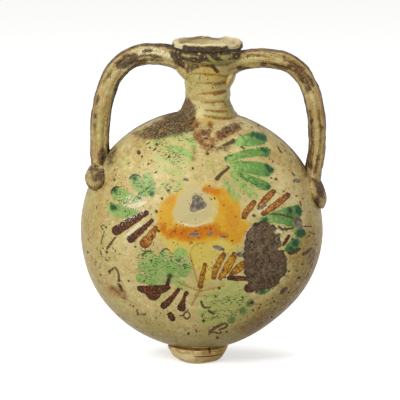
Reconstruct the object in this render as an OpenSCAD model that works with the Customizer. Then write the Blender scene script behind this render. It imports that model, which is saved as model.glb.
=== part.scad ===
// Pilgrim flask of thrown and glazed earthenware: a flattened round body on a small foot,
// a ringed neck under a thick mouth collar, and two strap handles from neck to shoulder.
// The origin is on the ground under the body's centre, +Z is up and the front faces -Y.

/* [Body] */
// Diameter of the round body, seen from the front
body_d = 200; // [180:1:220]
// Depth of the body from its front face to its back face
body_depth = 130; // [110:1:150]
// Thickness of the thrown wall
body_wall = 6; // [4:0.5:8]
// Radius of the body's rounded rim, seen from the side
body_rim_r = 55; // [50:1:58]
// Depth of the lap joint between the two bowls
lap_depth = 3; // [2:0.5:5]
// Slip squeezed out along the inside of the lap joint
lap_bead = 0.8; // [0.5:0.1:1.5]

/* [Foot] */
// Height of the body's lowest point above the ground
foot_h = 9; // [6:0.5:12]
// Diameter of the foot where it meets the body
foot_top_d = 50; // [46:1:60]
// Diameter of the foot on the ground
foot_base_d = 40; // [34:1:44]
// Diameter of the hollow under the foot
foot_hollow_d = 24; // [14:1:28]
// Offset of the foot from the body's centre, as it was set by hand
foot_shift = -3; // [-5:0.5:5]
// Depth of the two grooves turned round the foot
foot_groove = 0.6; // [0.2:0.1:1]

/* [Neck] */
// Outside diameter of the neck at its waist
neck_d = 37; // [34:0.5:42]
// Bore of the neck, which takes a cork
neck_bore_d = 25; // [20:0.5:27]
// Height of the neck from the body's top to the mouth collar
neck_h = 41; // [36:1:50]
// How far the neck widens towards the collar
neck_flare = 3; // [1:0.5:4]
// Offset of the neck from the body's centre, as it was set by hand
neck_shift = 5; // [-6:0.5:8]
// Number of throwing ridges round the neck
neck_ridges = 5; // [2:1:7]
// Height of a throwing ridge
neck_ridge_h = 0.6; // [0.2:0.1:1]
// Radius at which the clay coil round the neck's root runs out on the body
coil_r = 34; // [30:0.5:38]
// Height of that coil against the neck
coil_h = 14; // [10:0.5:17]
// Thickness of the coil's lifted edge
coil_edge = 0.8; // [0.5:0.1:1.5]

/* [Mouth collar] */
// Outside diameter of the lip
lip_d = 58; // [54:0.5:64]
// Thickness of the lip
lip_wall = 5.5; // [4:0.5:7]
// Height of the collar
collar_h = 16; // [12:0.5:20]
// Diameter of the collar where it sits on the neck
collar_base_d = 49; // [47:0.5:53]
// Gap round the bore at the bottom of the funnel
throat_gap = 1; // [0.5:0.25:2]

/* [Handles] */
// Thickness of the left handle's strap, seen from the front
left_strap_t = 16.5; // [13:0.5:19]
// Thickness of the right handle's strap, seen from the front
right_strap_t = 15; // [13:0.5:19]
// Extra thickness of a strap at the neck
strap_swell = 2.5; // [0:0.5:4]
// Fullness of the bend between a handle's crown and its widest point
strap_bend = 0.68; // [0.5:0.02:0.8]
// Width of the strap from front to back
strap_w = 21; // [18:0.5:25]
// Depth of the finger grooves along the strap
strap_groove = 0.4; // [0:0.1:0.8]
// How far the left handle's outside stands in from the body's outline
left_inset = 8.5; // [4:0.5:12]
// Height of the left handle's crown above the neck's top
left_crown_rise = 4.5; // [-2:0.5:8]
// Distance of the left handle's crown from the neck's axis
left_crown_reach = 45; // [38:1:52]
// Drop from the left handle's crown to its widest point
left_drop = 76; // [64:1:84]
// Angle above the level at which the left handle lands on the body
left_land = 31; // [26:1:36]
// How far the right handle's outside stands in from the body's outline
right_inset = -2; // [-4:0.5:4]
// Height of the right handle's crown above the neck's top
right_crown_rise = 1; // [-4:0.5:6]
// Distance of the right handle's crown from the neck's axis
right_crown_reach = 46; // [38:1:54]
// Drop from the right handle's crown to its widest point
right_drop = 66; // [56:1:76]
// Angle above the level at which the right handle lands on the body
right_land = 20; // [15:1:26]

/* [Thumbed clay] */
// Length of the left thumb pad along the body's outline
left_pad_l = 22; // [18:0.5:26]
// Thickness of the left thumb pad
left_pad_d = 20; // [17:0.5:23]
// Length of the right thumb pad along the body's outline
right_pad_l = 27; // [22:0.5:30]
// Thickness of the right thumb pad
right_pad_d = 16; // [14:0.5:20]
// Diameter of the wad pressed under each handle's root
wad_d = 21; // [18:0.5:24]
// How far that wad stands proud of the neck
wad_proud = 4; // [3:0.5:6]

/* [Hidden] */
$fn = 180;

clay = "burlywood";
biscuit = "tan";
smeared = "khaki";

body_r = body_d / 2;
body_c = body_depth / 2;
body_z = foot_h + body_r;
body_top = foot_h + body_d;
neck_r = neck_d / 2;
neck_top = body_top + neck_h;
bore_r = neck_bore_d / 2;
// The hole cut in the body is wider than the bore, so that the neck alone guides a cork.
hole_slack = 1.5;
body_hole_r = bore_r + hole_slack;
// Solids that another piece is cut from reach this far past it.
overrun = 10;
// Step of the angle round a fillet or an egg
fillet_step = 10;
// How far the foot's side runs up past the body's lowest point
foot_lap = 2;
// Where the foot's grooves lie on its side's quarter ellipse, in degrees from the ground
foot_groove_angles = [50, 75];
// Sides of a groove's round section
groove_sides = 24;
// Steps and steepness of the coil's fall from the neck
coil_steps = 9;
coil_power = 3.5;
// Rings along each third of a handle, and points round its section
strap_rings = 12;
strap_sides = 32;
// Lengthwise finger grooves round a strap
strap_grooves = 8;
// How square a strap's section is, where 2 is an ellipse
strap_squareness = 2.3;
// How far the top of a strap's root lies below the neck's top
root_drop = 2;
// Share of its rise to the crown that a strap has made a third of the way out
root_lift = 0.8;
// Share of a strap's thickness by which its centreline lands inside the body
strap_sink = 1 / 4;
// Share of a thumb pad's thickness by which its middle lies inside the body
pad_sink = 1 / 8;
// Share by which a thumb pad is narrower towards its top than at its middle
pad_taper = 0.15;
// Angle by which a thumb pad lies below its strap's landing
pad_drop = 4;

// The body's section has a tight arc round the rim and a shallow arc over each face, and the
// face's radius is the one that meets the rim's arc without a corner.
rim_centre = body_r - body_rim_r;
face_r = (body_r * body_r - 2 * body_r * body_rim_r + body_c * body_c)
    / (2 * (body_c - body_rim_r));

// One value per side: sign, inset, crown rise, crown reach, drop, landing angle, thickness
LEFT = [-1, left_inset, left_crown_rise, left_crown_reach, left_drop, left_land, left_strap_t];
RIGHT = [1, right_inset, right_crown_rise, right_crown_reach, right_drop, right_land,
    right_strap_t];

function reversed(list) = [for (i = [len(list) - 1:-1:0]) list[i]];

// Height of the body's outside above the ground, at a distance y in front of the seam
function rim_height(y) = body_z + rim_centre + sqrt(body_rim_r * body_rim_r - y * y);

// Half of the body's section as [radius, depth], shrunk all round by an inset
module section(inset = 0) {
    blend_r = rim_centre + (body_rim_r - inset) * rim_centre / (face_r - body_rim_r);
    intersection() {
        translate([0, body_c - face_r])
            circle(r = face_r - inset);
        translate([0, face_r - body_c])
            circle(r = face_r - inset);
        translate([0, -body_depth])
            square([blend_r, 2 * body_depth]);
    }
    intersection() {
        translate([rim_centre, 0])
            circle(r = body_rim_r - inset);
        translate([blend_r, -body_depth])
            square([body_r, 2 * body_depth]);
    }
}

// One half of the wall's section, in front of the seam or behind it
module wall_section(front) {
    intersection() {
        difference() {
            section();
            section(body_wall);
        }
        translate([0, front ? 0 : -body_depth])
            square([body_d, body_depth]);
    }
}

// Section of the tongue that laps the joint, with the slip squeezed out inside it
module lap_section() {
    bead_r = body_r - body_wall - lap_bead;
    translate([bead_r, -lap_depth])
        square([body_r - body_wall / 2 - bead_r, 2 * lap_depth]);
}

// Turns a section about the body's axis, which runs from back to front
module turned_body() {
    translate([0, 0, body_z])
        rotate([90, 0, 0])
            rotate_extrude()
                children();
}

module on_neck_axis(z = 0) {
    translate([neck_shift, 0, z])
        children();
}

// The whole outside of the body as one solid, from which what seats on it is cut
module body_solid() {
    turned_body()
        section();
}

module neck_hole() {
    on_neck_axis(body_z)
        cylinder(r = body_hole_r, h = body_d);
}

module front_bowl() {
    color(clay)
        difference() {
            turned_body() {
                wall_section(front = true);
                lap_section();
            }
            neck_hole();
        }
}

module back_bowl() {
    color(clay)
        difference() {
            turned_body()
                difference() {
                    wall_section(front = false);
                    lap_section();
                }
            neck_hole();
        }
}

// A groove is a ring of round section, half sunk in a turned surface
module turned_groove(r, z, depth) {
    translate([0, 0, z])
        rotate_extrude()
            translate([r, 0])
                circle(r = depth, $fn = groove_sides);
}

module foot_ring() {
    top_r = foot_top_d / 2;
    base_r = foot_base_d / 2;
    hollow_r = foot_hollow_d / 2;
    // The side bulges from the narrow base to the wide top by a quarter ellipse.
    rise = foot_h + foot_lap;
    side = [
        for (a = [0:fillet_step:90])
            [base_r + (top_r - base_r) * sin(a), rise * (1 - cos(a))]
    ];
    color(biscuit)
        difference() {
            translate([foot_shift, 0, 0])
                rotate_extrude()
                    polygon(concat(side, [[top_r, foot_h + overrun], [hollow_r, foot_h + overrun],
                        [hollow_r, 0]]));
            translate([foot_shift, 0, 0])
                for (a = foot_groove_angles)
                    turned_groove(r = base_r + (top_r - base_r) * sin(a), z = rise * (1 - cos(a)),
                        depth = foot_groove);
            body_solid();
        }
}

// Outside radius of the neck at a share u of its height: the waist, the flare and the ridges
function neck_radius(u) =
    neck_r + neck_flare * u * u * u
    + neck_ridge_h / 2 * (1 - cos(360 * neck_ridges * u)) * (1 - u);

// The outside of the neck as one solid, from inside the body up to the collar
module neck_solid() {
    steps = 8 * neck_ridges;
    side = [
        for (i = [0:steps])
            [neck_radius(i / steps), body_top + neck_h * i / steps]
    ];
    on_neck_axis()
        rotate_extrude()
            polygon(concat([[0, body_top - overrun], [neck_r, body_top - overrun]], side,
                [[0, neck_top]]));
}

module neck() {
    color(clay)
        difference() {
            neck_solid();
            on_neck_axis(body_z)
                cylinder(r = bore_r, h = neck_top);
            body_solid();
        }
}

// The coil of clay smeared into a hollow fillet where the neck stands on the body
module neck_coil() {
    fillet = [
        for (i = [0:coil_steps])
            let (r = neck_r + (coil_r - neck_r) * i / coil_steps)
            [r, rim_height(r) + coil_edge + coil_h * pow(1 - i / coil_steps, coil_power)]
    ];
    floor_z = body_z + rim_centre;
    color(smeared)
        difference() {
            on_neck_axis()
                rotate_extrude()
                    polygon(concat(fillet, [[coil_r, floor_z], [bore_r, floor_z],
                        [bore_r, fillet[0].y]]));
            neck_solid();
            body_solid();
        }
}

// Outline of the collar's outside, from its seat on the neck to the top of the lip
function collar_side() =
    let (lip_r = lip_d / 2, base_r = collar_base_d / 2, round_r = lip_wall / 2)
    concat(
        [for (a = [0:fillet_step:90])
            [base_r + (lip_r - base_r) * sin(a), (collar_h / 2) * (1 - cos(a))]],
        [for (a = [0:fillet_step:180])
            [lip_r - round_r + round_r * cos(a), collar_h - round_r + round_r * sin(a)]]
    );

// The outside of the collar as one solid
module collar_solid() {
    on_neck_axis(neck_top)
        rotate_extrude()
            polygon(concat([[0, 0]], collar_side(), [[0, collar_h - lip_wall / 2]]));
}

module mouth_collar() {
    throat_r = bore_r + throat_gap;
    mouth_r = lip_d / 2 - lip_wall;
    lip_z = collar_h - lip_wall / 2;
    funnel = [
        for (a = [90:-fillet_step:0])
            [throat_r + (mouth_r - throat_r) * sin(a), lip_z * (1 - cos(a))]
    ];
    color(clay)
        on_neck_axis(neck_top)
            rotate_extrude()
                polygon(concat(collar_side(), funnel));
}

function bezier(p, t) =
    pow(1 - t, 3) * p[0] + 3 * t * pow(1 - t, 2) * p[1]
    + 3 * t * t * (1 - t) * p[2] + pow(t, 3) * p[3];

// Centreline of a handle as [distance out from the body's axis, height]: up from inside the
// neck to the crown, out and down to the widest point, and in to a landing on the body
function strap_path(side) =
    let (
        axis_u = side[0] * neck_shift,
        thick = side[6],
        root = [axis_u + neck_r / 2, neck_top - thick / 2 - root_drop + side[2] / 2],
        crown = [axis_u + side[3], neck_top + side[2]],
        widest = [body_r - side[1] - thick / 2, crown.y - side[4]],
        land_r = body_r - thick * strap_sink,
        land = [land_r * cos(side[5]), body_z + land_r * sin(side[5])],
        fall = widest.y - land.y,
        climb = [root, root + [(crown.x - root.x) / 3, (crown.y - root.y) * root_lift],
            crown - [(crown.x - root.x) / 3, 0], crown],
        bend = [crown, crown + [(widest.x - crown.x) * strap_bend, 0],
            widest + [0, (crown.y - widest.y) * strap_bend], widest],
        drop = [widest, widest - [0, fall / 3], land + [0, fall / 3], land]
    )
    concat(
        [for (i = [0:strap_rings - 1]) bezier(climb, i / strap_rings)],
        [for (i = [0:strap_rings - 1]) bezier(bend, i / strap_rings)],
        [for (i = [0:strap_rings]) bezier(drop, i / strap_rings)]
    );

function signed_power(x, n) = sign(x) * pow(abs(x), n);

// One ring of the strap's section: thick across the path, wide along Y, with finger grooves
function strap_ring(centre, across, thick, side_sign) = [
    for (j = [0:strap_sides - 1])
        let (
            a = 360 * j / strap_sides,
            groove = strap_groove * (1 - cos(strap_grooves * a)) / 2,
            out = (thick / 2 - groove) * signed_power(cos(a), 2 / strap_squareness),
            deep = (strap_w / 2 - groove) * signed_power(sin(a), 2 / strap_squareness),
            p = centre + across * out
        )
        [side_sign * p.x, deep, p.y]
];

// The whole strap of a handle, before its ends are cut to what they seat on
module strap(side) {
    path = strap_path(side);
    count = len(path);
    points = [
        for (i = [0:count - 1])
            let (
                ahead = path[min(i + 1, count - 1)] - path[max(i - 1, 0)],
                along = ahead / norm(ahead),
                at_neck = pow(1 - i / (count - 1), 2)
            )
            each strap_ring(path[i], [-along.y, along.x], side[6] + strap_swell * at_neck,
                side[0])
    ];
    skin = [
        for (i = [0:count - 2])
            for (j = [0:strap_sides - 1])
                let (
                    k = (j + 1) % strap_sides,
                    a = i * strap_sides + j,
                    b = i * strap_sides + k
                )
                each [[a, b, b + strap_sides], [a, b + strap_sides, a + strap_sides]]
    ];
    first = [for (j = [strap_sides - 1:-1:0]) j];
    last = [for (j = [0:strap_sides - 1]) (count - 1) * strap_sides + j];
    faces = concat(skin, [first, last]);
    polyhedron(points, side[0] > 0 ? faces : [for (f = faces) reversed(f)]);
}

module handle(side) {
    color(clay)
        difference() {
            strap(side);
            body_solid();
            neck_solid();
            collar_solid();
        }
}

module left_handle() {
    handle(LEFT);
}

module right_handle() {
    handle(RIGHT);
}

// A wad of clay pressed into the corner between the neck and the underside of a strap
module root_wad(side) {
    root = strap_path(side)[0];
    color(smeared)
        difference() {
            on_neck_axis()
                translate([side[0] * (neck_r + wad_proud - wad_d / 2), 0, root.y - side[6] / 2])
                    sphere(d = wad_d);
            neck_solid();
            collar_solid();
            strap(side);
        }
}

module left_root_wad() {
    root_wad(LEFT);
}

module right_root_wad() {
    root_wad(RIGHT);
}

// The end of a strap, pressed down with the thumb into an egg that lies along the body
module thumb_pad(side, length, thick) {
    egg = [
        for (a = [-90:fillet_step:90])
            [max(0, thick / 2 * cos(a) * (1 - pad_taper * sin(a))), length / 2 * sin(a)]
    ];
    turn = side[5] - pad_drop;
    color(smeared)
        difference() {
            translate([0, 0, body_z])
                rotate([0, side[0] > 0 ? -turn : turn - 180, 0])
                    translate([body_r - thick * pad_sink, 0, 0])
                        rotate_extrude()
                            polygon(egg);
            body_solid();
            strap(side);
        }
}

module left_thumb_pad() {
    thumb_pad(LEFT, left_pad_l, left_pad_d);
}

module right_thumb_pad() {
    thumb_pad(RIGHT, right_pad_l, right_pad_d);
}

front_bowl();
back_bowl();
foot_ring();
neck();
neck_coil();
mouth_collar();
left_handle();
right_handle();
left_root_wad();
right_root_wad();
left_thumb_pad();
right_thumb_pad();
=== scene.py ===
import math
import bpy
import numpy as np
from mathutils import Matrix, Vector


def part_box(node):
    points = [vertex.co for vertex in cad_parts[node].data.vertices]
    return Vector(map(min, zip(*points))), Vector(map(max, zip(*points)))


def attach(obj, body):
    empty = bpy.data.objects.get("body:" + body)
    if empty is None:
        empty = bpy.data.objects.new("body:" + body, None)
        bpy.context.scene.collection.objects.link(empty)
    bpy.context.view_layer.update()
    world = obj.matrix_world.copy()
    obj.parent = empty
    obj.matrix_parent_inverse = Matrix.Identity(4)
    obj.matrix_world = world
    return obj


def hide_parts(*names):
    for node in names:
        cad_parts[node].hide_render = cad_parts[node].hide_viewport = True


# Pilgrim flask: painted and glazed earthenware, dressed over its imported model.
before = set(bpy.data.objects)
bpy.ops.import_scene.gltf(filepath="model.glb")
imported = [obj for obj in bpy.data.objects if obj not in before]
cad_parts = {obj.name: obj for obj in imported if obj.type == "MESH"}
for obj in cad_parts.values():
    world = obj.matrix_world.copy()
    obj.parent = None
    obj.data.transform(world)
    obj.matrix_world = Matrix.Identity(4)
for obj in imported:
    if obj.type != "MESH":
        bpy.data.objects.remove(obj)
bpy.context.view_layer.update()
print("frame loaded")

mm = 0.001

# The photo's frame: where its camera stood, in mm and degrees, and what a pixel covers
photo = {
    "pixels": 400,
    "mmPerPixel": 0.82,
    "distance": 2500.0,
    "elevation": 10.3,
    "target": (-1.2, 0.0, 133.7),
    "sensor": 36.0,
}


def photoAxes():
    # Along the view: cosine and minus sine of the elevation; up in the picture: its sine and cosine
    tilt = math.radians(photo["elevation"])
    forward = np.array([0.0, math.cos(tilt), -math.sin(tilt)])
    upward = np.array([0.0, math.sin(tilt), math.cos(tilt)])
    return forward, upward


def toPixel(points):
    # Pixel = the frame's middle plus the offset across the view, shrunk by the depth along it
    forward, upward = photoAxes()
    offset = points - (np.array(photo["target"]) - forward * photo["distance"])
    scale = photo["distance"] / (offset @ forward) / photo["mmPerPixel"]
    middle = photo["pixels"] / 2 - 0.5
    return middle + offset[:, 0] * scale, middle - (offset @ upward) * scale


# Sizes of the flask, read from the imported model, in mm
def nodeBox(name):
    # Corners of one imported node: metres over the metres in a millimetre
    low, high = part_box(name)
    return np.array(low) / mm, np.array(high) / mm


bowlLow, bowlHigh = nodeBox("back_bowl")
neckLow, neckHigh = nodeBox("neck")
collarLow, collarHigh = nodeBox("mouth_collar")
footLow, footHigh = nodeBox("foot_ring")
body = {
    "radius": bowlHigh[0],
    "halfDepth": bowlHigh[1],
    "centreZ": bowlLow[2] + bowlHigh[0],
    "rimRadius": 55.0,
    "wall": 6.0,
    "neckHole": 14.0,
    "outerCells": 300,      # cells along a side of the painted skin's square grid
    "backCells": 240,
    "innerCells": 75,
    "lump": 0.5,            # depth of the hand-made unevenness
    "ringPitch": 7.5,       # spacing and depth of the throwing rings on the faces
    "ringDepth": 0.16,
    "flat": 3.6,            # how far the lower right of the outline is pressed in
    "flatAngle": -52.0,
    "flatSpread": 26.0,
}
body["rimCentre"] = body["radius"] - body["rimRadius"]
body["faceRadius"] = (
    body["radius"] ** 2 - 2 * body["radius"] * body["rimRadius"] + body["halfDepth"] ** 2
) / (2 * (body["halfDepth"] - body["rimRadius"]))
body["turn"] = math.asin(body["rimCentre"] / (body["faceRadius"] - body["rimRadius"]))
neck = {
    "x": (neckLow[0] + neckHigh[0]) / 2,
    "bore": 12.5,
    "waist": 18.5,
    "flare": 3.0,
    "ridges": 5,
    "ridgeDepth": 0.6,
    "bottom": 202.0,
    "base": body["centreZ"] + body["radius"],
    "top": neckHigh[2],
}


def smooth(value, low, high):
    # Three t squared less two t cubed, with t the share of the way from low to high
    t = np.clip((value - low) / (high - low), 0.0, 1.0)
    return t * t * (3.0 - 2.0 * t)


def ripple(points, wavelength, seed):
    # Sum of plane waves in random directions over the root of their number: about -1 to 1
    waves = 14
    shortest, longest = 0.7, 1.5
    rng = np.random.default_rng(seed)
    total = np.zeros(len(points))
    for _ in range(waves):
        direction = rng.normal(size=3)
        direction /= np.linalg.norm(direction)
        pitch = wavelength * rng.uniform(shortest, longest)
        total += np.sin(points @ direction * (2 * math.pi / pitch) + rng.uniform(0, 2 * math.pi))
    return total / math.sqrt(waves)


# Brush strokes, each from start through middle to end as (x, y, width) in the photo's pixels

greenStrokes = {
    "fanTop": [(234.5, 142.5, 6), (250, 139, 14), (260.5, 137.8, 12)],
    "fanSecond": [(227, 158.5, 7), (246, 153, 8), (265.5, 151, 10)],
    "fanThird": [(231, 164, 5), (251, 167, 13), (267.5, 169.6, 12.4)],
    "fanFourth": [(234, 171, 4), (252, 179.4, 8), (266.4, 186, 8.4)],
    "rightLong": [(261, 219.5, 5), (280, 214.5, 11), (295.5, 211, 13)],
    "rightUnder": [(267, 220.5, 4), (280, 220, 7), (291, 220, 13)],
    "rightBlob": [(295, 229, 7), (299, 231.5, 11), (301, 233, 9)],
    "rightLow": [(296, 241, 7), (294, 244.5, 12), (289, 249, 8)],
    "patchFoot": [(259, 290.5, 8), (264, 290.5, 9), (268, 289.5, 7)],
}
# Leaves of a lighter green, laid on the left and below
lightGreenStrokes = {
    "leftUpper": [(133.5, 178.5, 11), (138, 184, 13), (144, 192, 9)],
    "leftUpperSide": [(147, 176, 9), (149.5, 184, 10), (151, 193.5, 7)],
    "leftUpperLow": [(137, 185, 9), (140.5, 188.5, 9), (147, 190, 9)],
    "leftMiddle": [(115, 191.5, 11), (124, 196, 13), (138, 200, 6)],
    "leftLower": [(112, 208.5, 12), (121, 211, 13), (135, 212, 6)],
    "lowA": [(139, 277, 8), (150, 280, 10), (163, 281, 8)],
    "lowB": [(141.5, 264, 10), (151, 270, 12), (163, 278, 9)],
    "lowC": [(146.5, 256, 12), (156, 264, 13), (165, 275, 10)],
    "lowD": [(163, 254, 9), (166, 263, 14), (169, 275, 10)],
    "lowE": [(179.5, 253.5, 13), (181, 262, 16), (177, 272, 11)],
    "lowF": [(186.5, 262, 8), (186, 269, 9), (184, 274, 7)],
}
# Thinner leaves, through which the ground shows
thinGreenStrokes = {
    "fanFifth": [(231, 173.5, 5), (242, 184, 8), (253.5, 195.5, 9)],
    "fanLast": [(225, 180, 5), (230, 188.5, 8), (235.5, 196.5, 9)],
    "lowWash": [(170, 277, 7), (177, 281.5, 10), (184, 288, 6)],
    "wornBrush": [(171, 147.5, 6), (180, 150, 8), (190, 154.5, 6)],
    "wornShort": [(190.5, 140.5, 5), (192.5, 144, 6), (194.5, 147, 4)],
}
paleGreenStrokes = {
    "wornTop": [(153.5, 143, 8), (165, 145, 9), (192, 155, 8)],
    "wornMiddle": [(155, 158, 7), (172, 159.5, 8), (190, 163, 6)],
    "wornLow": [(158, 168, 7), (168, 170, 7), (180, 173, 5)],
    "wornFar": [(162, 183, 6), (172, 187, 8), (182, 183, 6)],
    "wornDark": [(160, 134, 8), (176, 135.5, 10), (191, 139, 8)],
    "fanWash": [(232, 166, 8), (250, 176, 22), (262, 182, 14)],
    "brTop": [(222, 285, 6), (236, 285, 8), (247, 287, 6)],
    "brUpper": [(203, 300, 9), (225, 297, 18), (250, 303, 11)],
    "brMiddle": [(201, 312, 9), (220, 309, 16), (243, 313, 10)],
    "brLow": [(203, 322, 8), (217, 320, 11), (231, 321, 8)],
}
# Where the green is broken by many dark flecks
fleckStrokes = {
    "lowHeavy": [(142, 254, 14), (148, 266, 22), (142, 279, 10)],
    "lowRest": [(160, 256, 10), (172, 262, 16), (186, 268, 10)],
    "leftUpper": [(134, 177, 8), (142, 182, 16), (150, 192, 8)],
    "leftMiddle": [(113, 190, 9), (118, 196, 12), (124, 200, 8)],
    "leftLower": [(112, 206, 8), (120, 207, 7), (132, 208, 5)],
    "wornTop": [(154, 143, 8), (166, 150, 16), (176, 160, 12)],
    "wornLow": [(164, 186, 9), (170, 189, 10), (177, 188, 6)],
    "underShoulder": [(160, 132, 8), (176, 133, 10), (192, 137, 9)],
    "rightLine": [(271, 214, 3), (282, 215.5, 4), (293, 218, 4)],
    "rightSand": [(277, 226, 5), (283, 228, 7), (291, 228, 5)],
    "brUpper": [(208, 300, 8), (226, 300, 10), (250, 304, 6)],
    "brLower": [(204, 318, 8), (222, 314, 10), (244, 314, 6)],
    "fanRoots": [(233, 164, 4), (246, 178, 8), (262, 187, 7)],
}
coolBrownStrokes = {
    "leftLong": [(116, 230, 10), (129, 222, 9), (145.5, 212.5, 6)],
    "leftSecond": [(130.5, 238, 9), (140, 230.5, 6.5), (151.5, 220, 4)],
    "lowStem": [(166.5, 285, 4.5), (168, 280, 3.6), (169.5, 275, 2.6)],
    "midFlat": [(228, 277.5, 4), (236, 278, 5.5), (246, 278.5, 4)],
    "lowLong": [(139, 288.5, 6), (153, 290, 10), (167, 287.5, 6)],
    "lowBulge": [(147, 294, 4), (153, 296.5, 8), (159, 292.5, 4)],
    "lowSecond": [(163, 305.5, 7), (169.5, 299.5, 6), (178.2, 289, 3.5)],
    "lowThird": [(181, 307, 9), (183, 299, 4), (185.8, 292.8, 5)],
    "patchSpot": [(247.5, 288, 8), (249.5, 288.4, 9), (252, 288.8, 8)],
    "spotLow": [(169.5, 314.5, 6), (170.5, 316.5, 6.4), (172.5, 318.5, 5)],
    "rightDash": [(288.5, 235, 3), (286, 239.5, 4), (283, 244.5, 2.6)],
    "rightOuter": [(303, 254, 3), (306.5, 251.8, 4), (311, 248.5, 3)],
    "rightOval": [(283, 293.5, 4), (285, 291.5, 5), (287.5, 289.5, 4)],
    "rightFoot": [(289.5, 253, 3), (294, 251.5, 3.5), (299, 248.5, 3)],
}
redBrownStrokes = {
    "leftThird": [(144.5, 242.5, 11), (149.5, 236, 8.5), (155, 227.5, 5)],
    "rightFirst": [(243.5, 216.5, 5), (247, 210, 6.5), (253.5, 202, 5.5)],
    "rightSecond": [(258, 206.5, 2.5), (264.5, 199.5, 6.5), (273, 191, 5.5)],
    "rightThird": [(263, 213, 5), (275, 204.5, 7), (287.5, 194.5, 5.5)],
}
ochreBrownStrokes = {
    "midFirst": [(213.3, 277, 5), (216.5, 266, 6.5), (223, 255, 6)],
    "midSecond": [(219.5, 278, 4), (227, 267, 8), (234, 254.5, 6)],
    "midThird": [(231.5, 273.5, 5), (238, 268, 8), (244.5, 262.5, 6)],
    "midStem": [(199.8, 286, 5), (202, 275, 5), (204.5, 264, 4)],
}
lineStrokes = {
    "topStroke": [(223, 144.6, 2.6), (228.5, 142.6, 3.4), (232.6, 140.4, 4.8)],
    "fanStem": [(216.8, 178, 4.6), (220.8, 173.6, 3.6), (228.5, 167, 2.8)],
    "crossLong": [(106, 249, 2), (110, 243, 2.2), (114.5, 237.5, 2.4)],
    "crossShort": [(100.2, 243.4, 1.2), (101.6, 237, 1.3), (103.8, 231, 1.2)],
    "crossLoop": [(102.4, 229, 1.2), (100.2, 226, 1.4), (103.2, 224.6, 1.2)],
    "hookLeft": [(109, 271.5, 1.8), (112, 268.3, 2), (115, 266.8, 1.5)],
    "hookRight": [(115, 267, 1.3), (117.5, 272.5, 1.8), (118, 280.5, 3)],
    "hookFoot": [(117.5, 284, 2), (120, 287.5, 2.6), (121.5, 291.5, 1.6)],
    "ringLine": [(182.8, 315, 1.8), (186.2, 311.8, 2), (189.8, 315, 1.8)],
    "ringUnder": [(182.8, 315.4, 1.8), (186.2, 318.4, 2), (189.8, 315.4, 1.8)],
    "ringTail": [(178.5, 315, 1.2), (181, 315.5, 1.8), (183, 315.2, 1.6)],
    "openA": [(208.8, 332, 2), (217, 327, 3), (224.5, 324, 2.4)],
    "openB": [(224.5, 324.3, 1.6), (227, 327, 2.2), (219, 330.5, 1.8)],
    "openC": [(208, 335, 1.6), (212, 332.5, 1.6), (217.7, 334, 1.8)],
    "elbowA": [(200.7, 301, 2.2), (201.5, 304, 2.4), (203, 306.5, 2.8)],
    "elbowB": [(203, 306.8, 2.4), (206, 307.5, 2.2), (210, 307, 1.6)],
    "dashA": [(208.3, 310.5, 2.8), (210.5, 312.3, 3), (213.5, 313.8, 1.6)],
    "crackA": [(278, 226, 2), (284, 229, 2.6), (293, 227, 1.8)],
    "crackB": [(303, 226, 1.4), (308, 225.8, 1.6), (312, 226.4, 1.3)],
    "crackC": [(309, 231.6, 1.5), (312, 232.6, 1.6), (315, 234.2, 1.2)],
    "leafLine": [(271, 213.4, 1.5), (281, 214.4, 1.8), (292.5, 217.6, 1.8)],
    "markC": [(310.3, 263, 1.6), (312.5, 259, 2), (314, 255, 1.5)],
    "shoulderTick": [(292, 171.5, 1.6), (293.5, 173.5, 1.8), (294.6, 175, 1.5)],
    "shoulderTickB": [(278, 146.5, 1.2), (280, 150, 1.8), (281.5, 151.5, 1.4)],
    "fanEdge": [(225, 159, 1.8), (226.5, 156.4, 1.8), (232, 155, 1.4)],
    "blobEdge": [(129, 178, 1.4), (133, 174.4, 1.8), (139, 175, 1.5)],
    "leafEdge": [(110.4, 193, 1.4), (112.8, 187.4, 1.8), (118.4, 186.4, 1.5)],
    "clusterEdge": [(142, 256, 1.6), (146, 250.8, 2), (151, 251.6, 1.5)],
    "clusterTop": [(160, 252, 1.5), (165, 248.4, 1.8), (169, 250.4, 1.5)],
    "bellyTick": [(136, 310, 1.8), (136.4, 312, 1.6), (137, 314.4, 2)],
    "bellyDash": [(137.4, 314.2, 1.4), (140.5, 314.4, 1.3), (144.2, 314.6, 2.2)],
    "smallRing": [(189.4, 243.6, 1.2), (190.8, 241.9, 1.4), (192.2, 243.8, 1.2)],
    "patchLine": [(247, 243, 1), (249, 234, 1.3), (258.5, 225, 1)],
}
stemStrokes = {
    "stemLeft": [(189.5, 253, 1.6), (192.5, 266, 1.8), (199, 288, 1.8)],
    "stemCross": [(177, 282, 1.5), (190, 287.5, 1.8), (200, 291, 1.8)],
    "stemRight": [(199.5, 291, 1.5), (211, 288.5, 1.8), (224, 285.5, 1.5)],
    "stemFoot": [(198.5, 291, 3), (195, 298, 2.8), (191, 305, 2)],
    "stemCurl": [(190, 252, 1.4), (195, 244, 1.6), (204, 243, 1.4)],
}
orangeStrokes = {
    "ringLeft": [(181, 193, 4), (166.5, 208, 14), (166.5, 229, 16)],
    "ringLow": [(167, 229, 16), (190, 234, 17), (215, 231, 18)],
    "ringRight": [(214, 191, 9), (228, 203, 20), (226, 226, 28)],
    "petal": [(224, 225, 22), (236, 229, 22), (243, 225, 10)],
    "petalFoot": [(225, 232, 16), (234, 238, 12), (240, 239, 6)],
}
washStrokes = {
    "washLow": [(163, 232, 14), (192, 243, 18), (226, 240, 24)],
    "washSpread": [(172, 246, 12), (196, 252, 18), (222, 246, 16)],
    "washStem": [(196, 250, 16), (203, 264, 18), (208, 276, 8)],
    "washTop": [(204, 184, 6), (212, 192, 10), (222, 204, 12)],
}
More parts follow.
